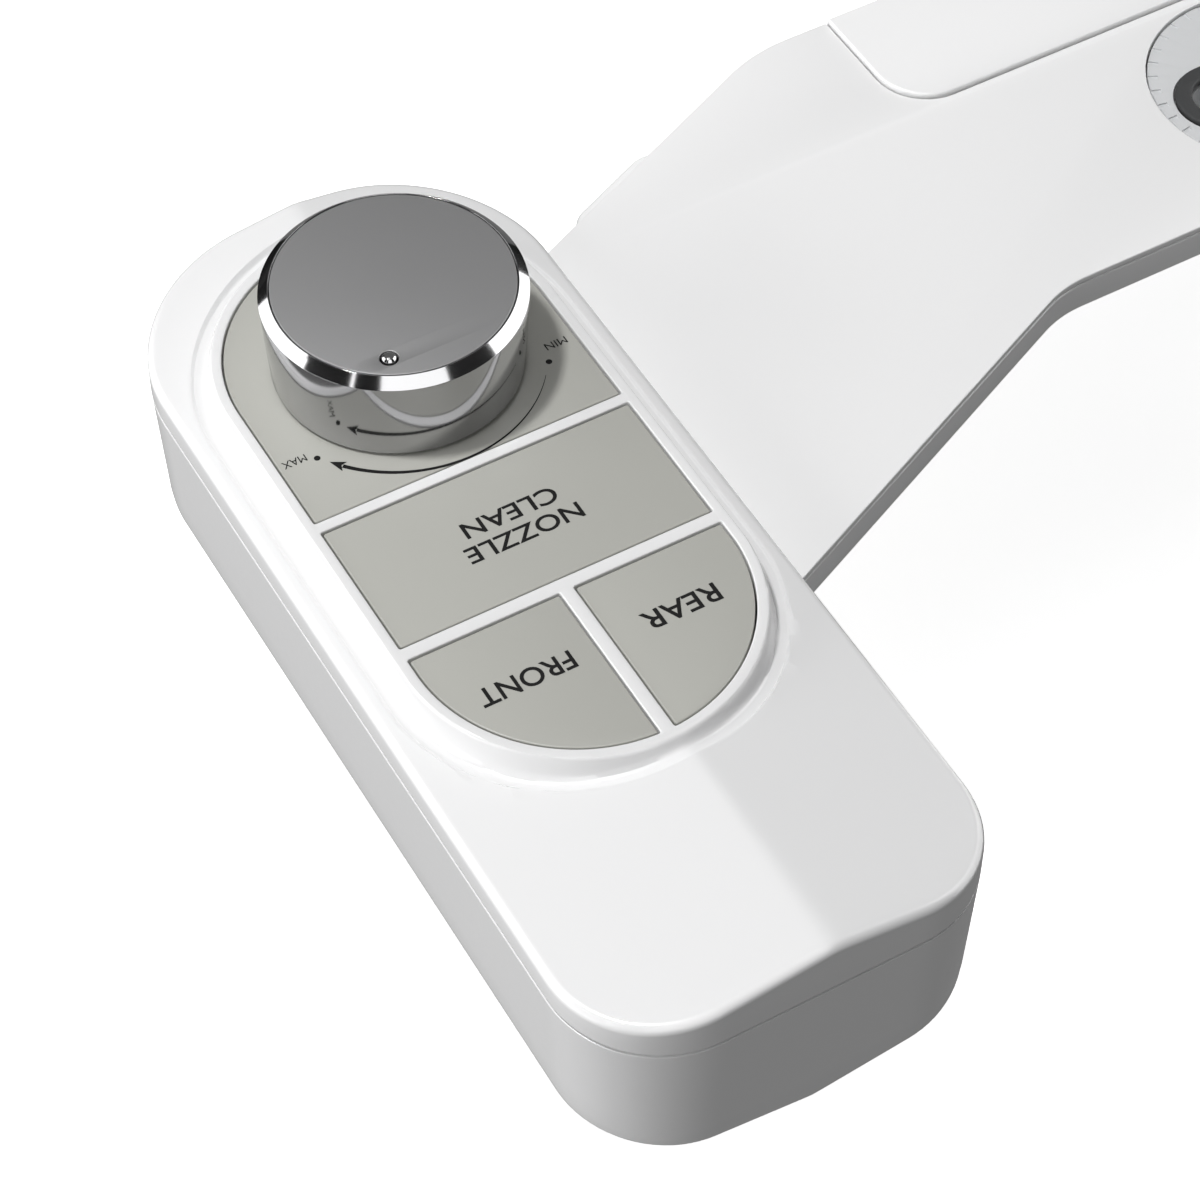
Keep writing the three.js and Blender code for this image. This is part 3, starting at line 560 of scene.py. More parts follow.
def outline_run(end):
    """Points and normals round one end of the box, with their share of the way round: the near end
    runs from -X to +X, and the far end from +X to -X."""
    radius = NEAR_RADIUS if end < 0 else FAR_RADIUS
    start_y, stop_y = (0.0, BOX_NEAR) if end < 0 else (SPAN, BOX_FAR)
    centre_y = stop_y - end * radius
    centre_x = BOX_HALF - radius
    straight = abs(centre_y - start_y)
    bend = radius * math.pi / 2
    face = 2 * centre_x
    total = 2 * straight + 2 * bend + face
    count = 132 if end < 0 else 96
    run = []
    for i in range(count + 1):
        distance = total * i / count
        mirror = distance > total / 2
        d = total - distance if mirror else distance
        if d <= straight:
            point, normal = (BOX_HALF, start_y + end * d), (1.0, 0.0)
        elif d <= straight + bend:
            angle = (d - straight) / radius
            normal = (math.cos(angle), end * math.sin(angle))
            point = (centre_x + radius * normal[0], centre_y + radius * normal[1])
        else:
            point, normal = (centre_x - (d - straight - bend), stop_y), (0.0, float(end))
        flip = -end if mirror else end
        run.append((((flip * point[0], point[1]), (flip * normal[0], normal[1])), distance / total))
    return run


def smooth_step(value):
    """0 below 0, 1 above 1, and an even curve between."""
    value = min(1.0, max(0.0, value))
    return value * value * (3 - 2 * value)


def roof(x):
    """Height of the crested top, without the moat and the rim."""
    fall = (CREST_Z - RIM_Z) / (BOX_HALF + CREST_X if x < CREST_X else BOX_HALF - CREST_X)
    soft = 0.5
    return CREST_Z - fall * (math.hypot(x - CREST_X, soft) - soft)


def field_distance(x, y):
    """Distance outside the raised rim's edge, and how much the direction points along Y."""
    dy = y if y < 0 else max(0.0, y - SPAN)
    reach = math.hypot(x, dy)
    return reach - RIM, abs(dy) / max(reach, 1e-6)


def cover_height(x, y):
    """Height of the cover's outer skin: rim, moat and crested top."""
    distance, lengthwise = field_distance(x, y)
    moat = (0.45 + 0.7 * lengthwise) * (1 - smooth_step((distance - 2.75) / 0.6))
    rim = 1 - smooth_step((distance + 0.35) / 1.6)
    ground = roof(x) - (moat if distance > -1 else 0.0)
    return (1 - rim) * ground


def inset_point(point, normal, distance):
    """The point moved against the outward direction."""
    return point[0] - normal[0] * distance, point[1] - normal[1] * distance


def cover_skin():
    """The cover's closed skin: the top from the rim outwards, the rolled edge, the side wall, and
    back inside to the foot of the collar round the field."""
    columns = box_columns()
    near_rows = [0, 0.25, 0.45, 0.65, 0.85, 1.05, 1.3, 1.6, 1.95, 2.3, 2.7, 3.1, 3.45,
                 3.6, 3.75, 3.9, 4.05, 4.2, 4.35, 4.8]
    far_rows = 12
    roll_rows = 8
    rows = []

    def add_row(make):
        rows.append([make(*column) for column in columns])

    def spot(core, angle, point, normal, distance, share):
        """A place on the line from the rim's seam to the start of the outer roll."""
        start = (core[0] + RIM_SEAM * math.cos(angle), core[1] + RIM_SEAM * math.sin(angle))
        end = inset_point(point, normal, ROLL)
        length = math.dist(start, end)
        inner = min(near_rows[-1], length - 0.4) * distance / near_rows[-1]
        t = (inner + share * (length - inner)) / length
        return start[0] + t * (end[0] - start[0]), start[1] + t * (end[1] - start[1])

    def top(distance, share):
        def make(*column):
            x, y = spot(*column, distance, share)
            return x, y, cover_height(x, y)
        return make

    def roll(angle):
        def make(core, theta, point, normal):
            x, y = inset_point(point, normal, ROLL)
            edge = inset_point(point, normal, ROLL * (1 - math.sin(angle)))
            return edge[0], edge[1], cover_height(x, y) - ROLL * (1 - math.cos(angle))
        return make

    def wall(inset, height):
        return lambda core, theta, point, normal: (*inset_point(point, normal, inset), height)

    def lowered(inset, drop):
        def make(core, theta, point, normal):
            x, y = inset_point(point, normal, inset)
            return x, y, roof(x) - drop
        return make

    def collar(radius, height):
        return lambda core, theta, point, normal: (
            core[0] + radius * math.cos(theta), core[1] + radius * math.sin(theta), height)

    def under(radius):
        def make(core, theta, point, normal):
            x = core[0] + radius * math.cos(theta)
            y = core[1] + radius * math.sin(theta)
            return x, y, roof(x) - WALL - 0.8
        return make

    for distance in near_rows:
        add_row(top(distance, 0.0))
    for i in range(1, far_rows + 1):
        add_row(top(near_rows[-1], i / far_rows))
    for i in range(1, roll_rows + 1):
        add_row(roll(math.pi / 2 * i / roll_rows))
    for inset, height in [(0, SKIRT_Z), (0, COVER_BOTTOM + 0.3), (0, COVER_BOTTOM + 0.14),
                          (0.05, COVER_BOTTOM + 0.04), (0.14, COVER_BOTTOM), (WALL, COVER_BOTTOM)]:
        add_row(wall(inset, height))
    add_row(lowered(WALL, WALL + 0.4))
    add_row(under(RIM + 0.6))
    add_row(collar(RIM - 0.1, COLLAR_Z))
    add_row(collar(RIM_SEAM, COLLAR_Z))
    return mesh_of(*skin(rows, loop_rows=True), origin=CONTROL)


def ribs_mesh():
    """The flat frame between the keys, flush with the rim, and the ledge under the dial plate."""
    holes = [key_outline(kind, 0.0) for kind in ("clean", "front", "rear")]
    rim = stadium(RIM - 0.35, 0, SPAN)
    frame_mesh = plate("ribs", [rim, *holes, dial_outline(0.0)], -5.0, -0.004, 0.22)
    ledge = plate("ledge", [dial_outline(-0.6), circle(8, 0, KNOB_Y)], -4.7, -2.3, 0.2)
    return in_control(merged([frame_mesh, ledge]))


piece("cover_shell", merged([cover_skin(), ribs_mesh()]), "white_shell", "frame", ["control_cover"], 40)


# ---- Control box: base ---------------------------------------------------------------------------

def keel(x):
    """Height of the base's underside, which falls to a ridge along the middle."""
    soft = 0.35
    slope = (SIDE_BOTTOM_Z - KEEL_Z) / BOX_HALF
    return KEEL_Z + slope * (math.hypot(x, soft) - soft)


def base_skin():
    """The base's closed skin: the inside of the wall, the wall, the underside and the inner floor.
    Both floors close onto the ridge line."""
    columns = box_columns()
    rows = []
    edge = 1.1
    ridge = [(0.0, min(max(point[1], -60.0), 84.0)) for _, _, point, _ in columns]

    def draft(height):
        """How far the wall leans in at a height."""
        return DRAFT * (BASE_TOP - height) / (BASE_TOP - KEEL_Z)

    def wall(inset, height):
        rows.append([(*inset_point(point, normal, inset + draft(height)), height)
                     for _, _, point, normal in columns])

    def floor(inset, lift, share=0.0):
        row = []
        for (_, _, point, normal), middle in zip(columns, ridge):
            x, y = inset_point(point, normal, inset + DRAFT * 0.9)
            x += share * (middle[0] - x)
            y += share * (middle[1] - y)
            row.append((x, y, keel(x) + lift))
        rows.append(row)

    for inset, height in [(WALL, -30.5), (WALL, BASE_TOP), (0.14, BASE_TOP), (0.05, BASE_TOP - 0.04),
                          (0, BASE_TOP - 0.14), (0, BASE_TOP - 0.3), (0, -14), (0, -18), (0, -23),
                          (0, -28), (0, -32.2)]:
        wall(inset, height)
    for i in range(6):
        angle = math.pi / 2 * i / 5
        floor(edge * (1 - math.cos(angle)), edge * (1 - math.sin(angle)))
    for i in range(1, 13):
        floor(edge, 0.0, i / 12)
    keel_row = len(rows) - 1
    for i in range(12, -1, -1):
        floor(WALL, WALL, i / 12)
    return mesh_of(*skin(rows, loop_rows=True, open_after=keel_row), origin=CONTROL)


def arm_corners():
    """The arm and plate in plan, in the row frame, with each corner's radius."""
    front_bend = CONTROL.x + ARM_FRONT_END[0] + (PLATE_FRONT - (CONTROL.y + ARM_FRONT_END[1])) / ARM_SLOPE
    back_bend = CONTROL.x + ARM_BACK_END[0] + (PLATE_BACK - (CONTROL.y + ARM_BACK_END[1])) / ARM_SLOPE
    return [
        (ARM_INNER_X, PLATE_FRONT - (front_bend - ARM_INNER_X) * ARM_SLOPE, 0),
        (front_bend, PLATE_FRONT, 20), (-TONGUE_HALF - 6, PLATE_FRONT, 4),
        (-TONGUE_HALF, TONGUE_FRONT, 5), (TONGUE_HALF, TONGUE_FRONT, 5),
        (TONGUE_HALF + 6, PLATE_FRONT, 4), (PLATE_RIGHT, PLATE_FRONT, 18), (PLATE_RIGHT, PLATE_BACK, 14),
        (back_bend, PLATE_BACK, 30),
        (ARM_INNER_X, PLATE_BACK - (back_bend - ARM_INNER_X) * ARM_SLOPE, 0),
    ]


def arm_outline(grow=0.0):
    """The arm's and plate's rounded outline, moved outwards by grow."""
    return soften(moved_in(arm_corners(), -grow), 0, 10, closed=True)


def moved_in(corners, distance):
    """A counter-clockwise polygon moved inwards; each corner's third value is its radius."""
    result = []
    for i, corner in enumerate(corners):
        here = Vector(corner[:2])
        a = (here - Vector(corners[i - 1][:2])).normalized()
        b = (Vector(corners[(i + 1) % len(corners)][:2]) - here).normalized()
        scale = distance / (1 + a.dot(b))
        turn = math.copysign(1, a.x * b.y - a.y * b.x)
        radius = max(0.0, corner[2] - turn * distance) if corner[2] else 0.0
        result.append((here.x - (a.y + b.y) * scale, here.y + (a.x + b.x) * scale, radius))
    return result


def base_mesh():
    """The base with the notch for the arm, and its posts with their stepped screw holes."""
    steps = [("DIFFERENCE", plate("notch", [arm_outline(GAP)], -GAP, PLATE_TOP + 6, 0.01, 1))]
    for x, y in SCREW_POSTS:
        steps.append(("UNION", in_control(rod(4.2, keel(x) + 0.5, BASE_TOP - 0.01, x, y))))
    for x, y in SCREW_POSTS:
        steps.append(("DIFFERENCE", in_control(rod(3.2, -50, -33, x, y))))
        steps.append(("DIFFERENCE", in_control(rod(1.6, -50, 0, x, y))))
    return combined(base_skin(), steps)


piece("base_shell", base_mesh(), "white_shell", "frame", ["control_base"], 40)


# ---- Panel: keys, dial plate and legends ---------------------------------------------------------

def key_mesh(kind, x, y):
    """A key cap with the boss under it that pushes the plunger."""
    cap = plate(kind, [key_outline(kind, GAP)], -6.6, FIELD_TOP, 0.28, 4)
    boss = rod(5, -9, -2.2, x, y, 32)
    return in_control(merged([cap, boss]))


KEYS = {"clean": (0.0, 17.6), "front": (-11.5, -8.0), "rear": (11.5, -8.0)}
for kind, (key_x, key_y) in KEYS.items():
    piece(f"{kind}_key_cap", key_mesh(kind, key_x, key_y), "grey_panel", f"{kind}_key",
          [f"{kind}_button"])

dial_mesh = plate("dial", [dial_outline(GAP), circle(6.5, 0, KNOB_Y)], -2.0, FIELD_TOP, 0.28, 4)
piece("dial_face", in_control(dial_mesh), "grey_panel", "frame", ["dial_plate"])


def legend(text, x, y, height, width, body, weight=0.012):
    """A word as a thin printed layer, centred on a point and set to a height and a width. Weight
    thickens its strokes. It fills the font's M, so words with one have none."""
    curve = bpy.data.curves.new(text, "FONT")
    curve.body = text
    curve.align_x = "CENTER"
    curve.resolution_u = 6
    curve.offset = weight
    mesh = baked(text, curve)
    xs = [v.co.x for v in mesh.vertices]
    ys = [v.co.y for v in mesh.vertices]
    mesh.transform(Matrix.Translation((-(min(xs) + max(xs)) / 2, -(min(ys) + max(ys)) / 2, 0)))
    scale = (width * MM / (max(xs) - min(xs)), height * MM / (max(ys) - min(ys)), 1)
    mesh.transform(Matrix.Diagonal((*scale, 1)))
    mesh.transform(Matrix.Rotation(math.pi, 4, "Z"))
    printed(f"legend_{text.lower()}", mesh, x, y, body)


def printed(name, mesh, x, y, body):
    """A flat mesh given the thickness of a printed layer and laid on the grey field."""
    work = bmesh.new()
    work.from_mesh(mesh)
    bmesh.ops.recalc_face_normals(work, faces=work.faces)
    lifted = bmesh.ops.extrude_face_region(work, geom=work.faces[:])
    moved = [v for v in lifted["geom"] if isinstance(v, bmesh.types.BMVert)]
    bmesh.ops.translate(work, verts=moved, vec=(0, 0, 0.02 * MM))
    work.to_mesh(mesh)
    work.free()
    mesh.transform(Matrix.Translation(Vector((x, y, FIELD_TOP + 0.005)) * MM))
    obj = new_object(name, in_control(mesh), INK)
    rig.ride(obj, body)
    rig.slot(obj, "rubber")


legend("NOZZLE", 0.0, 15.4, 3.1, 19.0, "clean_key")
legend("CLEAN", 0.0, 19.9, 3.1, 15.5, "clean_key")
legend("FRONT", -12.8, -8.3, 3.4, 15.2, "front_key")
legend("REAR", 12.8, -7.9, 3.4, 12.4, "rear_key")


def flat_mesh(outline):
    """One level face."""
    mesh = bpy.data.meshes.new("flat")
    mesh.from_pydata([(x * MM, y * MM, 0) for x, y in outline], [], [tuple(range(len(outline)))])
    return mesh


def dial_marks():
    """A tapered arrow round the knob from MIN to MAX, with a dot at each end."""
    start, stop, reach = -38.0, -139.0, 22.7
    outer, inner = [], []
    for i in range(61):
        share = i / 60
        angle = math.radians(start + (stop - start) * share)
        width = 0.04 + 0.3 * share
        outer.append((reach + width, angle))
        inner.append((reach - width, angle))
    polar = outer + inner[::-1]
    arrow_line = flat_mesh([(r * math.cos(t), r * math.sin(t)) for r, t in polar])
    tip, wing = math.radians(stop - 5.5), math.radians(stop + 0.8)
    notch = math.radians(stop - 0.6)
    head = [(reach, tip), (reach - 0.95, wing), (reach - 0.1, notch), (reach + 0.95, wing)]
    arrow_head = flat_mesh([(r * math.cos(t), r * math.sin(t)) for r, t in head])
    meshes = [arrow_line, arrow_head]
    for degrees in (-31.0, -149.5):
        angle = math.radians(degrees)
        meshes.append(flat_mesh(circle(0.5, 22.9 * math.cos(angle), 22.9 * math.sin(angle), 24)))
    printed("legend_dial_marks", merged(meshes), 0.0, KNOB_Y, "frame")


dial_marks()
legend("MIN", 22.4, KNOB_Y - 9.0, 1.4, 3.6, "frame", 0.0)
legend("MAX", -23.0, KNOB_Y - 10.6, 1.4, 3.8, "frame", 0.0)


# ---- Knob ----------------------------------------------------------------------------------------

low, high = KNOB_WEB
knob_profile = soften([
    (1.5, low), (4.2, low), (4.2, 1), (6.2, 1), (6.2, low), (17.3, low), (17.3, GAP, 0.3),
    (KNOB_FOOT, GAP, 0.25), (KNOB_RADIUS, KNOB_TOP - KNOB_BEVEL, 0.12),
    (KNOB_RADIUS - KNOB_BEVEL, KNOB_TOP, 0.05), (18.6, KNOB_TOP, 0.05),
    (18.6, KNOB_RECESS), (4, KNOB_RECESS), (4, high), (1.5, high), (1.5, low),
], 0.15, 4)
piece("knob_shell", mesh_of(*lathe(knob_profile, 192, 0, KNOB_Y), origin=CONTROL), "chrome", "knob",
      ["knob_body"], 24)

stud_x = STUD_REACH * math.cos(STUD_ANGLE)
stud_y = KNOB_Y + STUD_REACH * math.sin(STUD_ANGLE)
disc_low = KNOB_RECESS + GAP
disc_outlines = [circle(18.45, 0, KNOB_Y, 160), circle(STUD_RADIUS + GAP, stud_x, stud_y, 32)]
disc_mesh = plate("disc", disc_outlines, disc_low, KNOB_TOP, 0.12)
piece("knob_cap", in_control(disc_mesh), "satin_metal", "knob", ["knob_top_disc"])
dome = [(0.0, disc_low), (STUD_RADIUS, disc_low), (STUD_RADIUS, KNOB_TOP - 0.1)]
for i in range(1, 9):
    angle = math.pi / 2 * i / 8
    dome.append((STUD_RADIUS * math.cos(angle), KNOB_TOP - 0.1 + 0.7 * math.sin(angle)))
piece("knob_marker", mesh_of(*lathe(dome, 40, stud_x, stud_y), origin=CONTROL), "chrome", "knob",
      ["knob_stud"], 24)


# ---- Arm and plate -------------------------------------------------------------------------------

def disc_holes():
    """The holes in the arm's top skin for the turning discs."""
    return [circle(DISC_RADIUS + GAP, side * BOLT_X, 0, 96) for side in (-1, 1)]


def rectangle(x0, x1, y0, y1, radii):
    """A counter-clockwise rectangle whose corners carry their radii."""
    corners = [(x0, y0), (x1, y0), (x1, y1), (x0, y1)]
    return [(*corner, radius) for corner, radius in zip(corners, radii)]


def arm_cover_outline():
    """The arm's top skin: the arm's outline with the raised cover's area left out."""
    corners = arm_corners()
    back = corners[-2:]
    seam = [
        (PLATE_RIGHT, SEAM_Y - GAP, 0), (SEAM_X - GAP, SEAM_Y - GAP, 9 + GAP),
        (SEAM_X - GAP, PLATE_BACK, 0),
    ]
    return soften([*corners[:7], *seam, *back], 0, 10, closed=True)


arm_top = plate("arm_top", [arm_cover_outline(), *disc_holes()], SKIN_LOW, PLATE_TOP, 0.3)
# The arm's pieces take that lighter white, which is painted light for their brighter-lit tops.
piece("arm_top_skin", arm_top, "white_shell", "frame", ["arm_cover"], 40, "white_arm_painted_light")

raised = soften(rectangle(SEAM_X, PLATE_RIGHT, SEAM_Y, PLATE_BACK, (9, 0, 14, 0)), 0, 10, closed=True)
piece("raised_rear_cover", plate("raised", [raised], SKIN_LOW, PLATE_TOP + CENTRE_RAISE, 0.4),
      "white_shell", "frame", ["centre_cover"], 40, "white_arm_painted_light")

def box_mesh(x0, x1, y0, y1, z0, z1, bevel=0.01):
    """A block between two corners."""
    return plate("box", [[(x0, y0), (x1, y0), (x1, y1), (x0, y1)]], z0, z1, bevel, 2)


def arm_tray():
    """The arm's hollow tray, with the inlet tab, the disc seats, and its screw posts and holes."""
    high = SKIN_LOW - GAP
    edge_angle = math.atan(ARM_SLOPE)
    body = plate("tray", [arm_outline()], 0, high, 0.3)
    tab = soften(rectangle(-12, 12, -20, 11, (4, 4, 5, 5)), 0, 8, closed=True)
    inlet = plate("inlet", [tab], -9, 4, 0.9, 5)
    inlet.transform(Matrix.Translation((INLET_X * MM, INLET_Y * MM, 0)) @ Matrix.Rotation(edge_angle, 4, "Z"))
    inner = soften(moved_in(arm_corners(), 2), 0, 8, closed=True)
    hollow = plate("inner", [inner], TRAY_FLOOR, 20, 0.01, 1)
    open_end = box_mesh(ARM_INNER_X - 5, ARM_INNER_X + 5, -50, 19, TRAY_FLOOR, 20)
    tray = combined(body, [("UNION", inlet), ("DIFFERENCE", hollow), ("DIFFERENCE", open_end)])
    posts = [("UNION", rod(DISC_RADIUS + 2.2, 0, high, side * BOLT_X, 0, 96)) for side in (-1, 1)]
    posts += [("UNION", rod(3.2, 0.01, high - 0.01, x, y)) for x, y in PLATE_SCREWS]
    holes = []
    for side in (-1, 1):
        holes += [rod(18.6, -5, 20, side * BOLT_X, 0, 96), rod(20.6, 3.2, 20, side * BOLT_X, 0, 96)]
    for x, y in PLATE_SCREWS:
        holes += [rod(1.5, -5, 20, x, y), rod(2.8, -5, 1.9, x, y)]
    holes += [rod(1.4, -5, 20, x, y) for x, y in NOZZLE_SCREWS]
    holes += [rod(7.2, -20, 20, INLET_X, INLET_Y, 64), box_mesh(-19, -4, -12, 10, -5, 3),
              box_mesh(9, 19, -12, 10, -5, 3)]
    return combined(tray, posts + [("DIFFERENCE", hole) for hole in holes])


piece("arm_tray", arm_tray(), "white_shell", "frame", ["arm_base"], 35, "white_arm_painted_light")


# ---- Turning discs and washers -------------------------------------------------------------------

def slot_shape(radius, x):
    """A bolt slot's outline, along X."""
    return [(px + x, py) for py, px in stadium(radius, -10, 10, 24)]


for side, sign in (("left", -1), ("right", 1)):
    bolt_x = sign * BOLT_X
    profile = [(0, 0.4, 0), (18.3, 0.4), (18.3, 3.5, 0.1), (DISC_RADIUS, 3.5), (DISC_RADIUS, DISC_TOP),
               (0, DISC_TOP, 0)]
    disc = mesh_of(*lathe(soften(profile, 0.3), 128, bolt_x, 0))
    grooves = []
    for i in range(36):
        groove = box_mesh(18.6, 21, -0.45, 0.45, DISC_TOP - 0.3, 8)
        groove.transform(Matrix.Translation((bolt_x * MM, 0, 0)) @ Matrix.Rotation(math.tau * i / 36, 4, "Z"))
        grooves.append(groove)
    slot = plate("slot", [slot_shape(4.6, bolt_x)], -5, 20, 0.01, 1)
    recess = plate("recess", [slot_shape(7.9, bolt_x)], 5.6, 20, 0.01, 1)
    disc = combined(disc, [("DIFFERENCE", merged(grooves)), ("DIFFERENCE", slot), ("DIFFERENCE", recess)])
    piece(f"{side}_turning_mount", disc, "inner_plastic", f"{side}_disc", [f"mounting_disc_{side}"])
    pad = plate("pad", [slot_shape(7.6, bolt_x), slot_shape(4.8, bolt_x)], 5.9, 7.4, 0.35)
    piece(f"{side}_washer", pad, "rubber", f"{side}_disc", [f"bolt_washer_{side}"])


# ---- Fasteners, springs and threads --------------------------------------------------------------

def threaded(radius, depth, pitch, low, high, segments, x, y, inner=0.0):
    """A closed shell with a helical ridge outside. With an inner radius it is a tube."""
    count = int((high - low) / pitch * 8)
    rows = []
    for j in range(count + 1):
        z = low + (high - low) * j / count
        row = []
        for i in range(segments):
            turn = i / segments
            phase = (z / pitch - turn) % 1.0
            ridge = 1 - abs(2 * phase - 1)
            here = radius - depth * (1 - ridge) if 0 < j < count else radius - depth
            row.append((x + here * math.cos(math.tau * turn), y + here * math.sin(math.tau * turn), z))
        rows.append(row)
    if inner:
        rows += [ring(inner, z, segments, x, y) for z in (high, low)]
        return mesh_of(*skin(rows, loop_rows=True))
    return mesh_of(*skin(rows, capped=True))


def screw_mesh(x, y, head_z, point_z, head=2.8, shank=1.1, height=1.8):
    """A pan-head screw with a cross recess and a thread."""
    down = math.copysign(1, head_z - point_z)
    shoulder = head_z - down * height
    seat = shoulder + down * 0.02
    profile = [(0, seat, 0), (head, seat, 0.15), (head, head_z, height * 0.55), (0, head_z, 0)]
    cap = mesh_of(*lathe(soften(profile, 0.2, 8), 48, x, y))
    arms = []
    for turn in (0, math.pi / 2):
        arm = box_mesh(-head / 2, head / 2, -0.32, 0.32, head_z - height / 2, head_z + height / 2)
        arm.transform(Matrix.Translation((x * MM, y * MM, 0)) @ Matrix.Rotation(turn + 0.4, 4, "Z"))
        arms.append(("DIFFERENCE", arm))
    low, high = sorted((point_z, shoulder))
    return merged([combined(cap, arms), threaded(shank, 0.28, 0.9, low, high, 24, x, y)])


def add_screw(name, mesh, body="frame"):
    """The piece that stands for a CAD screw."""
    piece(f"{name}_detail", mesh, "steel", body, [name])


for i, (x, y) in enumerate(PLATE_SCREWS):
    add_screw(f"plate_screw_{i + 1}", screw_mesh(x, y, 0.2, 6, 2.4, 1, 1.2))
for i, (x, y) in enumerate(NOZZLE_SCREWS):
    add_screw(f"nozzle_screw_{i + 1}", screw_mesh(x, y, 3.4, -9, 2.8, 1, 1.8))


def node_screw(node, axis_up=True):
    """A detailed screw at the place and size of a CAD screw that stands upright."""
    low, high = (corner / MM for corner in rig.box(node))
    x, y = (low.x + high.x) / 2, (low.y + high.y) / 2
    head = (high.x - low.x) / 2
    ends = (high.z, low.z) if axis_up else (low.z, high.z)
    add_screw(node, screw_mesh(x, y, *ends, head, 1.1, 1.8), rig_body(node))


for i in range(4):
    node_screw(f"cover_screw_{i + 1}", axis_up=False)
for i in range(2):
    node_screw(f"manifold_screw_{i + 1}")


def wire(points, radius):
    """A round wire along points in millimetres."""
    curve = bpy.data.curves.new("wire", "CURVE")
    curve.dimensions = "3D"
    curve.bevel_depth = radius * MM
    curve.bevel_resolution = 3
    curve.use_fill_caps = True
    spline = curve.splines.new("POLY")
    spline.points.add(len(points) - 1)
    for point, place in zip(spline.points, points):
        point.co = (*[c * MM for c in place], 1)
    return baked("wire", curve)


def coil(radius, gauge, low, high, turns):
    """A compression spring with flat closed ends, about the Z axis."""
    points = []
    steps = 28
    total = turns + 2
    for i in range(int(total * steps) + 1):
        turn = i / steps
        share = min(1.0, max(0.0, (turn - 1) / turns))
        z = low + gauge + (high - low - 2 * gauge) * share
        points.append((radius * math.cos(math.tau * turn), radius * math.sin(math.tau * turn), z))
    return wire(points, gauge)


def in_nozzle_unit(mesh, x=0.0, z=-10.0):
    """Lays a mesh drawn about +Z along a nozzle's axis, in the tilted nozzle unit."""
    mesh.transform(Matrix.Translation((x * MM, 0, z * MM)) @ Matrix.Rotation(math.pi / 2, 4, "X"))
    mesh.transform(NOZZLE_FRAME)
    return mesh


def spring_piece(node, mesh, moving, start, end):
    """A spring that stretches between the frame at start and the moving body at end."""
    obj = new_object(f"{node}_wire", mesh, MATERIALS["steel"], 60)
    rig.blend(obj, "frame", moving, start=start, end=end)
    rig.replaces(obj, node)
    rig.slot(obj, "steel")


SPRING_LOW, SPRING_HIGH = -16.7, -9.3
for kind, (x, y) in KEYS.items():
    mesh = coil(3.7, 0.42, SPRING_LOW, SPRING_HIGH, 3)
    mesh.transform(Matrix.Translation((CONTROL + Vector((x, y, 0))) * MM))
    base = (CONTROL + Vector((x, y, SPRING_LOW + 0.7))) * MM
    top = (CONTROL + Vector((x, y, SPRING_HIGH - 0.7))) * MM
    spring_piece(f"{kind}_spring", mesh, f"{kind}_key", base, top)


# ---- Nozzle unit ---------------------------------------------------------------------------------

def refined(node, bevel):
    """A CAD node's shape with its sharp edges rounded."""
    sharp = math.radians(40)
    mesh = frame["nodes"][node].data.copy()
    work = bmesh.new()
    work.from_mesh(mesh)
    bmesh.ops.remove_doubles(work, verts=work.verts, dist=1e-6)
    bmesh.ops.dissolve_limit(work, angle_limit=0.02, verts=work.verts, edges=work.edges)
    edges = [e for e in work.edges if len(e.link_faces) == 2 and e.calc_face_angle(0) > sharp]
    bmesh.ops.bevel(work, geom=edges, offset=bevel * MM, segments=2, affect="EDGES", clamp_overlap=True)
    work.to_mesh(mesh)
    work.free()
    return mesh


for node, bevel in (("nozzle_housing", 0.35), ("nozzle_guard", 0.35), ("selector_manifold", 0.3),
                    ("valve_body", 0.25), ("valve_bonnet", 0.2)):
    piece(f"{node}_moulding", refined(node, bevel), slot_of[node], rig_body(node), [node], 50)

for side, x in (("front", -NOZZLE_X), ("rear", NOZZLE_X)):
    tube = [(1.4, 5), (6.2, 5), (6.2, 6.3, 0.1), (5.6, 6.3, 0.1), (5.6, 7.7, 0.1), (6.2, 7.7, 0.1),
            (6.2, 9), (3.8, 9), (3.8, 60), (1.4, 60), (1.4, 5)]
    mesh = in_nozzle_unit(mesh_of(*lathe(soften(tube, 0.2), 64)), x)
    piece(f"{side}_wand_tube", mesh, "inner_plastic", f"{side}_wand", [f"{side}_nozzle"])
    nose = [(0, 60.3), (4.2, 60.3), (4.6, 62), (4.6, 66), (3.4, 68), (0, 68)]
    tip = mesh_of(*lathe(soften(nose, 0.4, 6), 64))
    jets = []
    for step in (-1.3, 0, 1.3):
        hole = rod(0.45 if step else 0.7, 0, 8, 0, 0, 24)
        place = Matrix.Translation((0, 0, (64 + step * 0.9) * MM))
        hole.transform(place @ Matrix.Rotation(-math.pi / 2, 4, "X"))
        jets.append(("DIFFERENCE", hole))
    piece(f"{side}_spray_tip", in_nozzle_unit(combined(tip, jets), x), "inner_plastic", f"{side}_wand",
          [f"{side}_nozzle_tip"])
    spring_mesh = in_nozzle_unit(coil(5.1, 0.5, 9.3, 52.7, 9), x)
    ends = [NOZZLE_FRAME @ (Vector((x, -distance, -10)) * MM) for distance in (51.5, 10.5)]
    spring_piece(f"{side}_nozzle_spring", spring_mesh, f"{side}_wand", *ends)

pin = mesh_of(*lathe(soften([(0, -21.9, 0), (1.25, -21.9), (1.25, 21.9), (0, 21.9, 0)], 0.3), 32))
pin.transform(Matrix.Translation((0, -61.2 * MM, 1 * MM)) @ Matrix.Rotation(math.pi / 2, 4, "Y"))
pin.transform(NOZZLE_FRAME)
piece("guard_hinge_pin", pin, "steel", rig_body("guard_pin"), ["guard_pin"])


# ---- Water inlet ---------------------------------------------------------------------------------

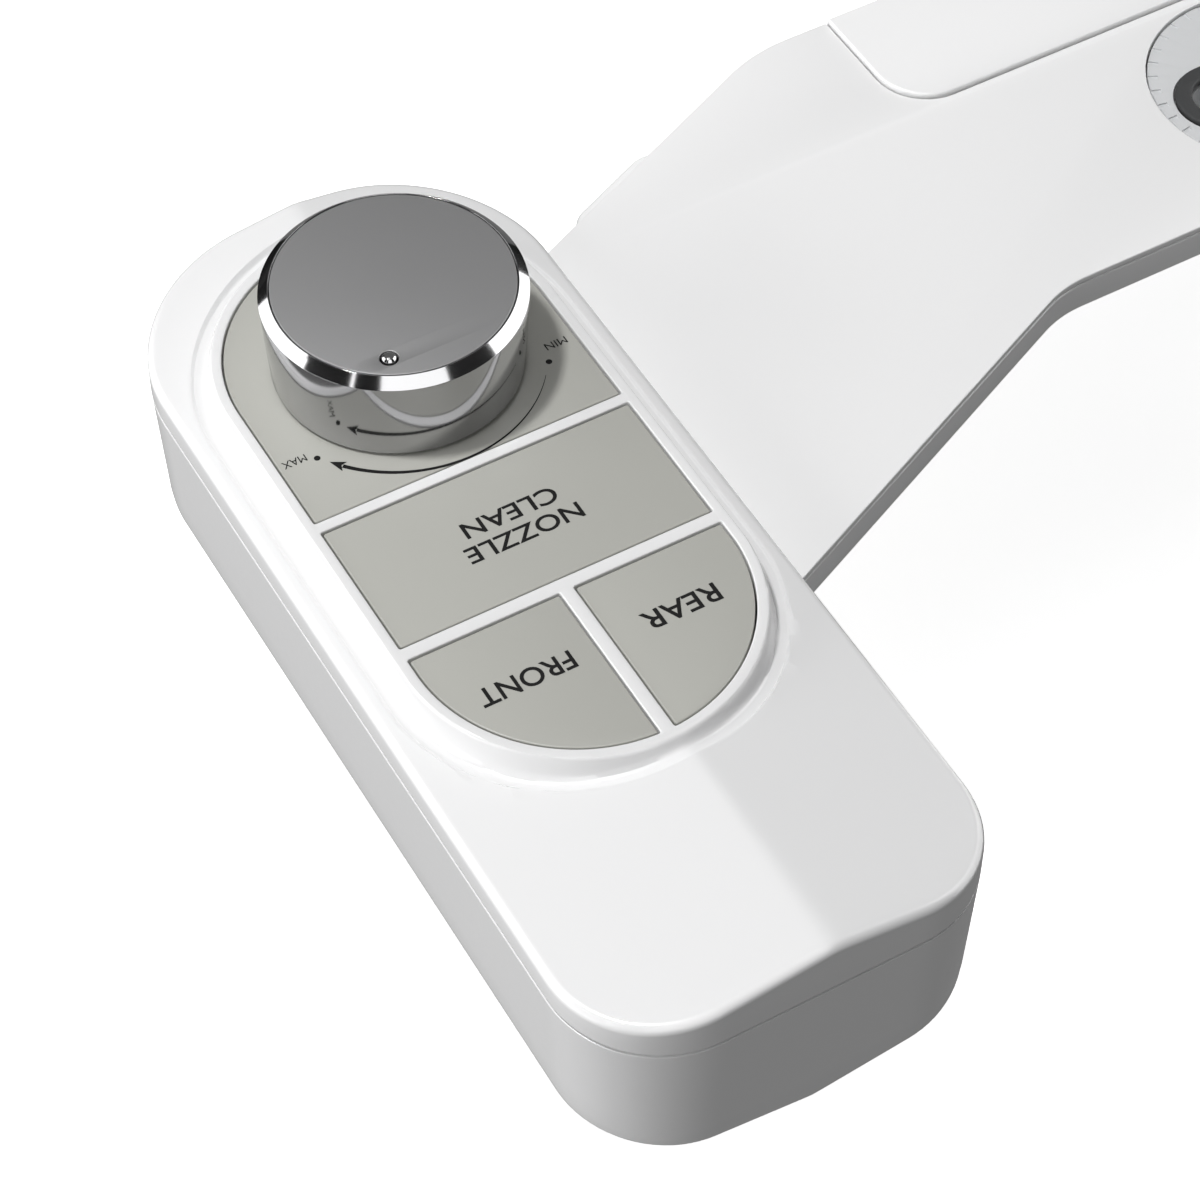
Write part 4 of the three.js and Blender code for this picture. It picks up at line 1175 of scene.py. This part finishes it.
def inlet_mesh():
    """The inlet: a hexagon collar with a stem above it, and a threaded tube with a lip below."""
    collar = [(5.6, -13), (9, -13, 0), (9, -12.2, 0.1), (12, -12.2), (12, -9.3), (6.7, -9.3, 0.1),
              (6.7, 1.3), (3.4, 1.3), (3.4, -10, 0.1), (5.6, -10, 0), (5.6, -13)]
    top = mesh_of(*lathe(soften(collar, 0.25), 96, INLET_X, INLET_Y))
    flats = []
    for i in range(6):
        cutter = box_mesh(10.9, 14, -10, 10, -14, -8)
        turn = Matrix.Rotation(math.tau * i / 6, 4, "Z")
        cutter.transform(Matrix.Translation((INLET_X * MM, INLET_Y * MM, 0)) @ turn)
        flats.append(("DIFFERENCE", cutter))
    thread = threaded(10.4, 1.0, 1.81, -25.4, -13, 96, INLET_X, INLET_Y, inner=5.4)
    edge = [(5.5, -26), (9.3, -26), (9.3, -25.3), (5.5, -25.3), (5.5, -26)]
    lip = mesh_of(*lathe(soften(edge, 0.15), 96, INLET_X, INLET_Y))
    return merged([combined(top, flats), thread, lip])


piece("inlet_thread", inlet_mesh(), "brass", "frame", ["inlet_nipple"])


# ---- Remaining CAD nodes: finish -----------------------------------------------------------------

for node_name, node in frame["nodes"].items():
    node.data.materials.clear()
    node.data.materials.append(MATERIALS[slot_of[node_name]])


# ---- Stage, light and camera ---------------------------------------------------------------------

def glowing(name, shade, roughness, strength):
    """A plain stage material that gives off white light."""
    mat = shader(name, (shade, shade, shade), roughness, tint=0.01, bump=0)
    mat.node_tree.nodes["Principled BSDF"].inputs["Emission Color"].default_value = (1, 1, 1, 1)
    mat.node_tree.nodes["Principled BSDF"].inputs["Emission Strength"].default_value = strength
    return mat


def stage_floor():
    """A white floor that the camera sees and that lights nothing."""
    mesh = bpy.data.meshes.new("floor")
    reach, level = 3.0, -0.075
    mesh.from_pydata([(-reach, -reach, level), (reach, -reach, level), (reach, reach, level),
                      (-reach, reach, level)], [], [(0, 1, 2, 3)])
    floor = bpy.data.objects.new("floor", mesh)
    bpy.context.scene.collection.objects.link(floor)
    mesh.materials.append(glowing("pale_floor", 0.93, 0.6, 0.7))
    floor.visible_diffuse = False
    floor.visible_glossy = False
    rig.stage(floor)


def area_light(name, place, target, size, power):
    """A rectangular lamp at a place, turned to a target. Metres and watts."""
    data = bpy.data.lights.new(name, "AREA")
    data.shape = "RECTANGLE"
    data.size, data.size_y = size
    data.energy = power
    light = bpy.data.objects.new(name, data)
    light.location = Vector(place)
    light.rotation_euler = (Vector(target) - Vector(place)).to_track_quat("-Z", "Y").to_euler()
    bpy.context.scene.collection.objects.link(light)


def bevel_card(name, start, end, shade, glow):
    """A studio card that the knob's bevel mirrors to the camera between two angles round the knob."""
    knob = (CONTROL + Vector((0, KNOB_Y, KNOB_TOP))) * MM
    corners = []
    for degrees, tilt in ((start, 28), (end, 28), (end, 62), (start, 62)):
        around, lean = math.radians(degrees), math.radians(tilt)
        flat = math.sin(lean)
        normal = Vector((math.cos(around) * flat, math.sin(around) * flat, math.cos(lean)))
        corners.append(knob + 0.6 * VIEW.reflect(normal))
    mesh = bpy.data.meshes.new(name)
    mesh.from_pydata(corners, [], [(0, 1, 2, 3)])
    mesh.materials.append(glowing(f"{name}_surface", shade, 0.8, glow))
    obj = bpy.data.objects.new(name, mesh)
    bpy.context.scene.collection.objects.link(obj)
    obj.visible_camera = False
    obj.visible_shadow = False
    obj.visible_diffuse = False
    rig.stage(obj)


def studio():
    """The floor, an even pale surround, three lamps, and black and white cards for the bevel."""
    stage_floor()
    world = bpy.data.worlds.new("studio")
    world.use_nodes = True
    world.node_tree.nodes["Background"].inputs["Color"].default_value = (1, 1, 1, 1)
    world.node_tree.nodes["Background"].inputs["Strength"].default_value = 0.21
    bpy.context.scene.world = world
    middle = (-0.23, -0.03, 0.0)
    area_light("top_softbox", (-0.36, 0.05, 1.45), (-0.17, -0.03, 0.0), (0.7, 0.7), 2.2)
    area_light("key_light", (-0.60, 0.16, 1.30), middle, (0.12, 0.12), 11.2)
    area_light("left_softbox", (-1.1, 0.08, 0.15), middle, (0.9, 0.7), 7.2)
    for i, (start, end, shade, glow) in enumerate([
            (128, 160, 0.01, 0), (160.5, 200, 0.9, 3.0), (201, 222, 0.01, 0), (222.5, 224, 0.9, 2.4),
            (224.5, 234, 0.01, 0), (235, 263, 0.9, 2.0), (264, 285, 0.01, 0), (287, 336, 0.9, 2.7),
            (338, 355, 0.01, 0)]):
        bevel_card(f"card_{i + 1}", start, end, shade, glow)


def camera():
    """A long lens over the near left of the control box. Its place is in field half-widths."""
    data = bpy.data.cameras.new("camera")
    data.sensor_width = 36.0
    data.lens = 108.5
    data.clip_start = 0.01
    view = bpy.data.objects.new("camera", data)
    bpy.context.scene.collection.objects.link(view)
    half_width = FIELD * MM
    right = Vector((0.8683, -0.4960, -0.0020)).normalized()
    back = -VIEW
    right = (right - back * right.dot(back)).normalized()
    up = back.cross(right).normalized()
    place = CONTROL * MM + Vector((-6.07, -10.95, 15.58)) * half_width
    view.matrix_world = Matrix((
        (right.x, up.x, back.x, place.x),
        (right.y, up.y, back.y, place.y),
        (right.z, up.z, back.z, place.z),
        (0, 0, 0, 1),
    ))
    bpy.context.scene.camera = view


studio()
camera()
bpy.context.scene.view_settings.view_transform = "Standard"

visual_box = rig.bounds()
with open("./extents.json", "w") as handle:
    json.dump({"cad": [list(corner) for corner in cad_box],
               "visual": [list(corner) for corner in visual_box]}, handle)
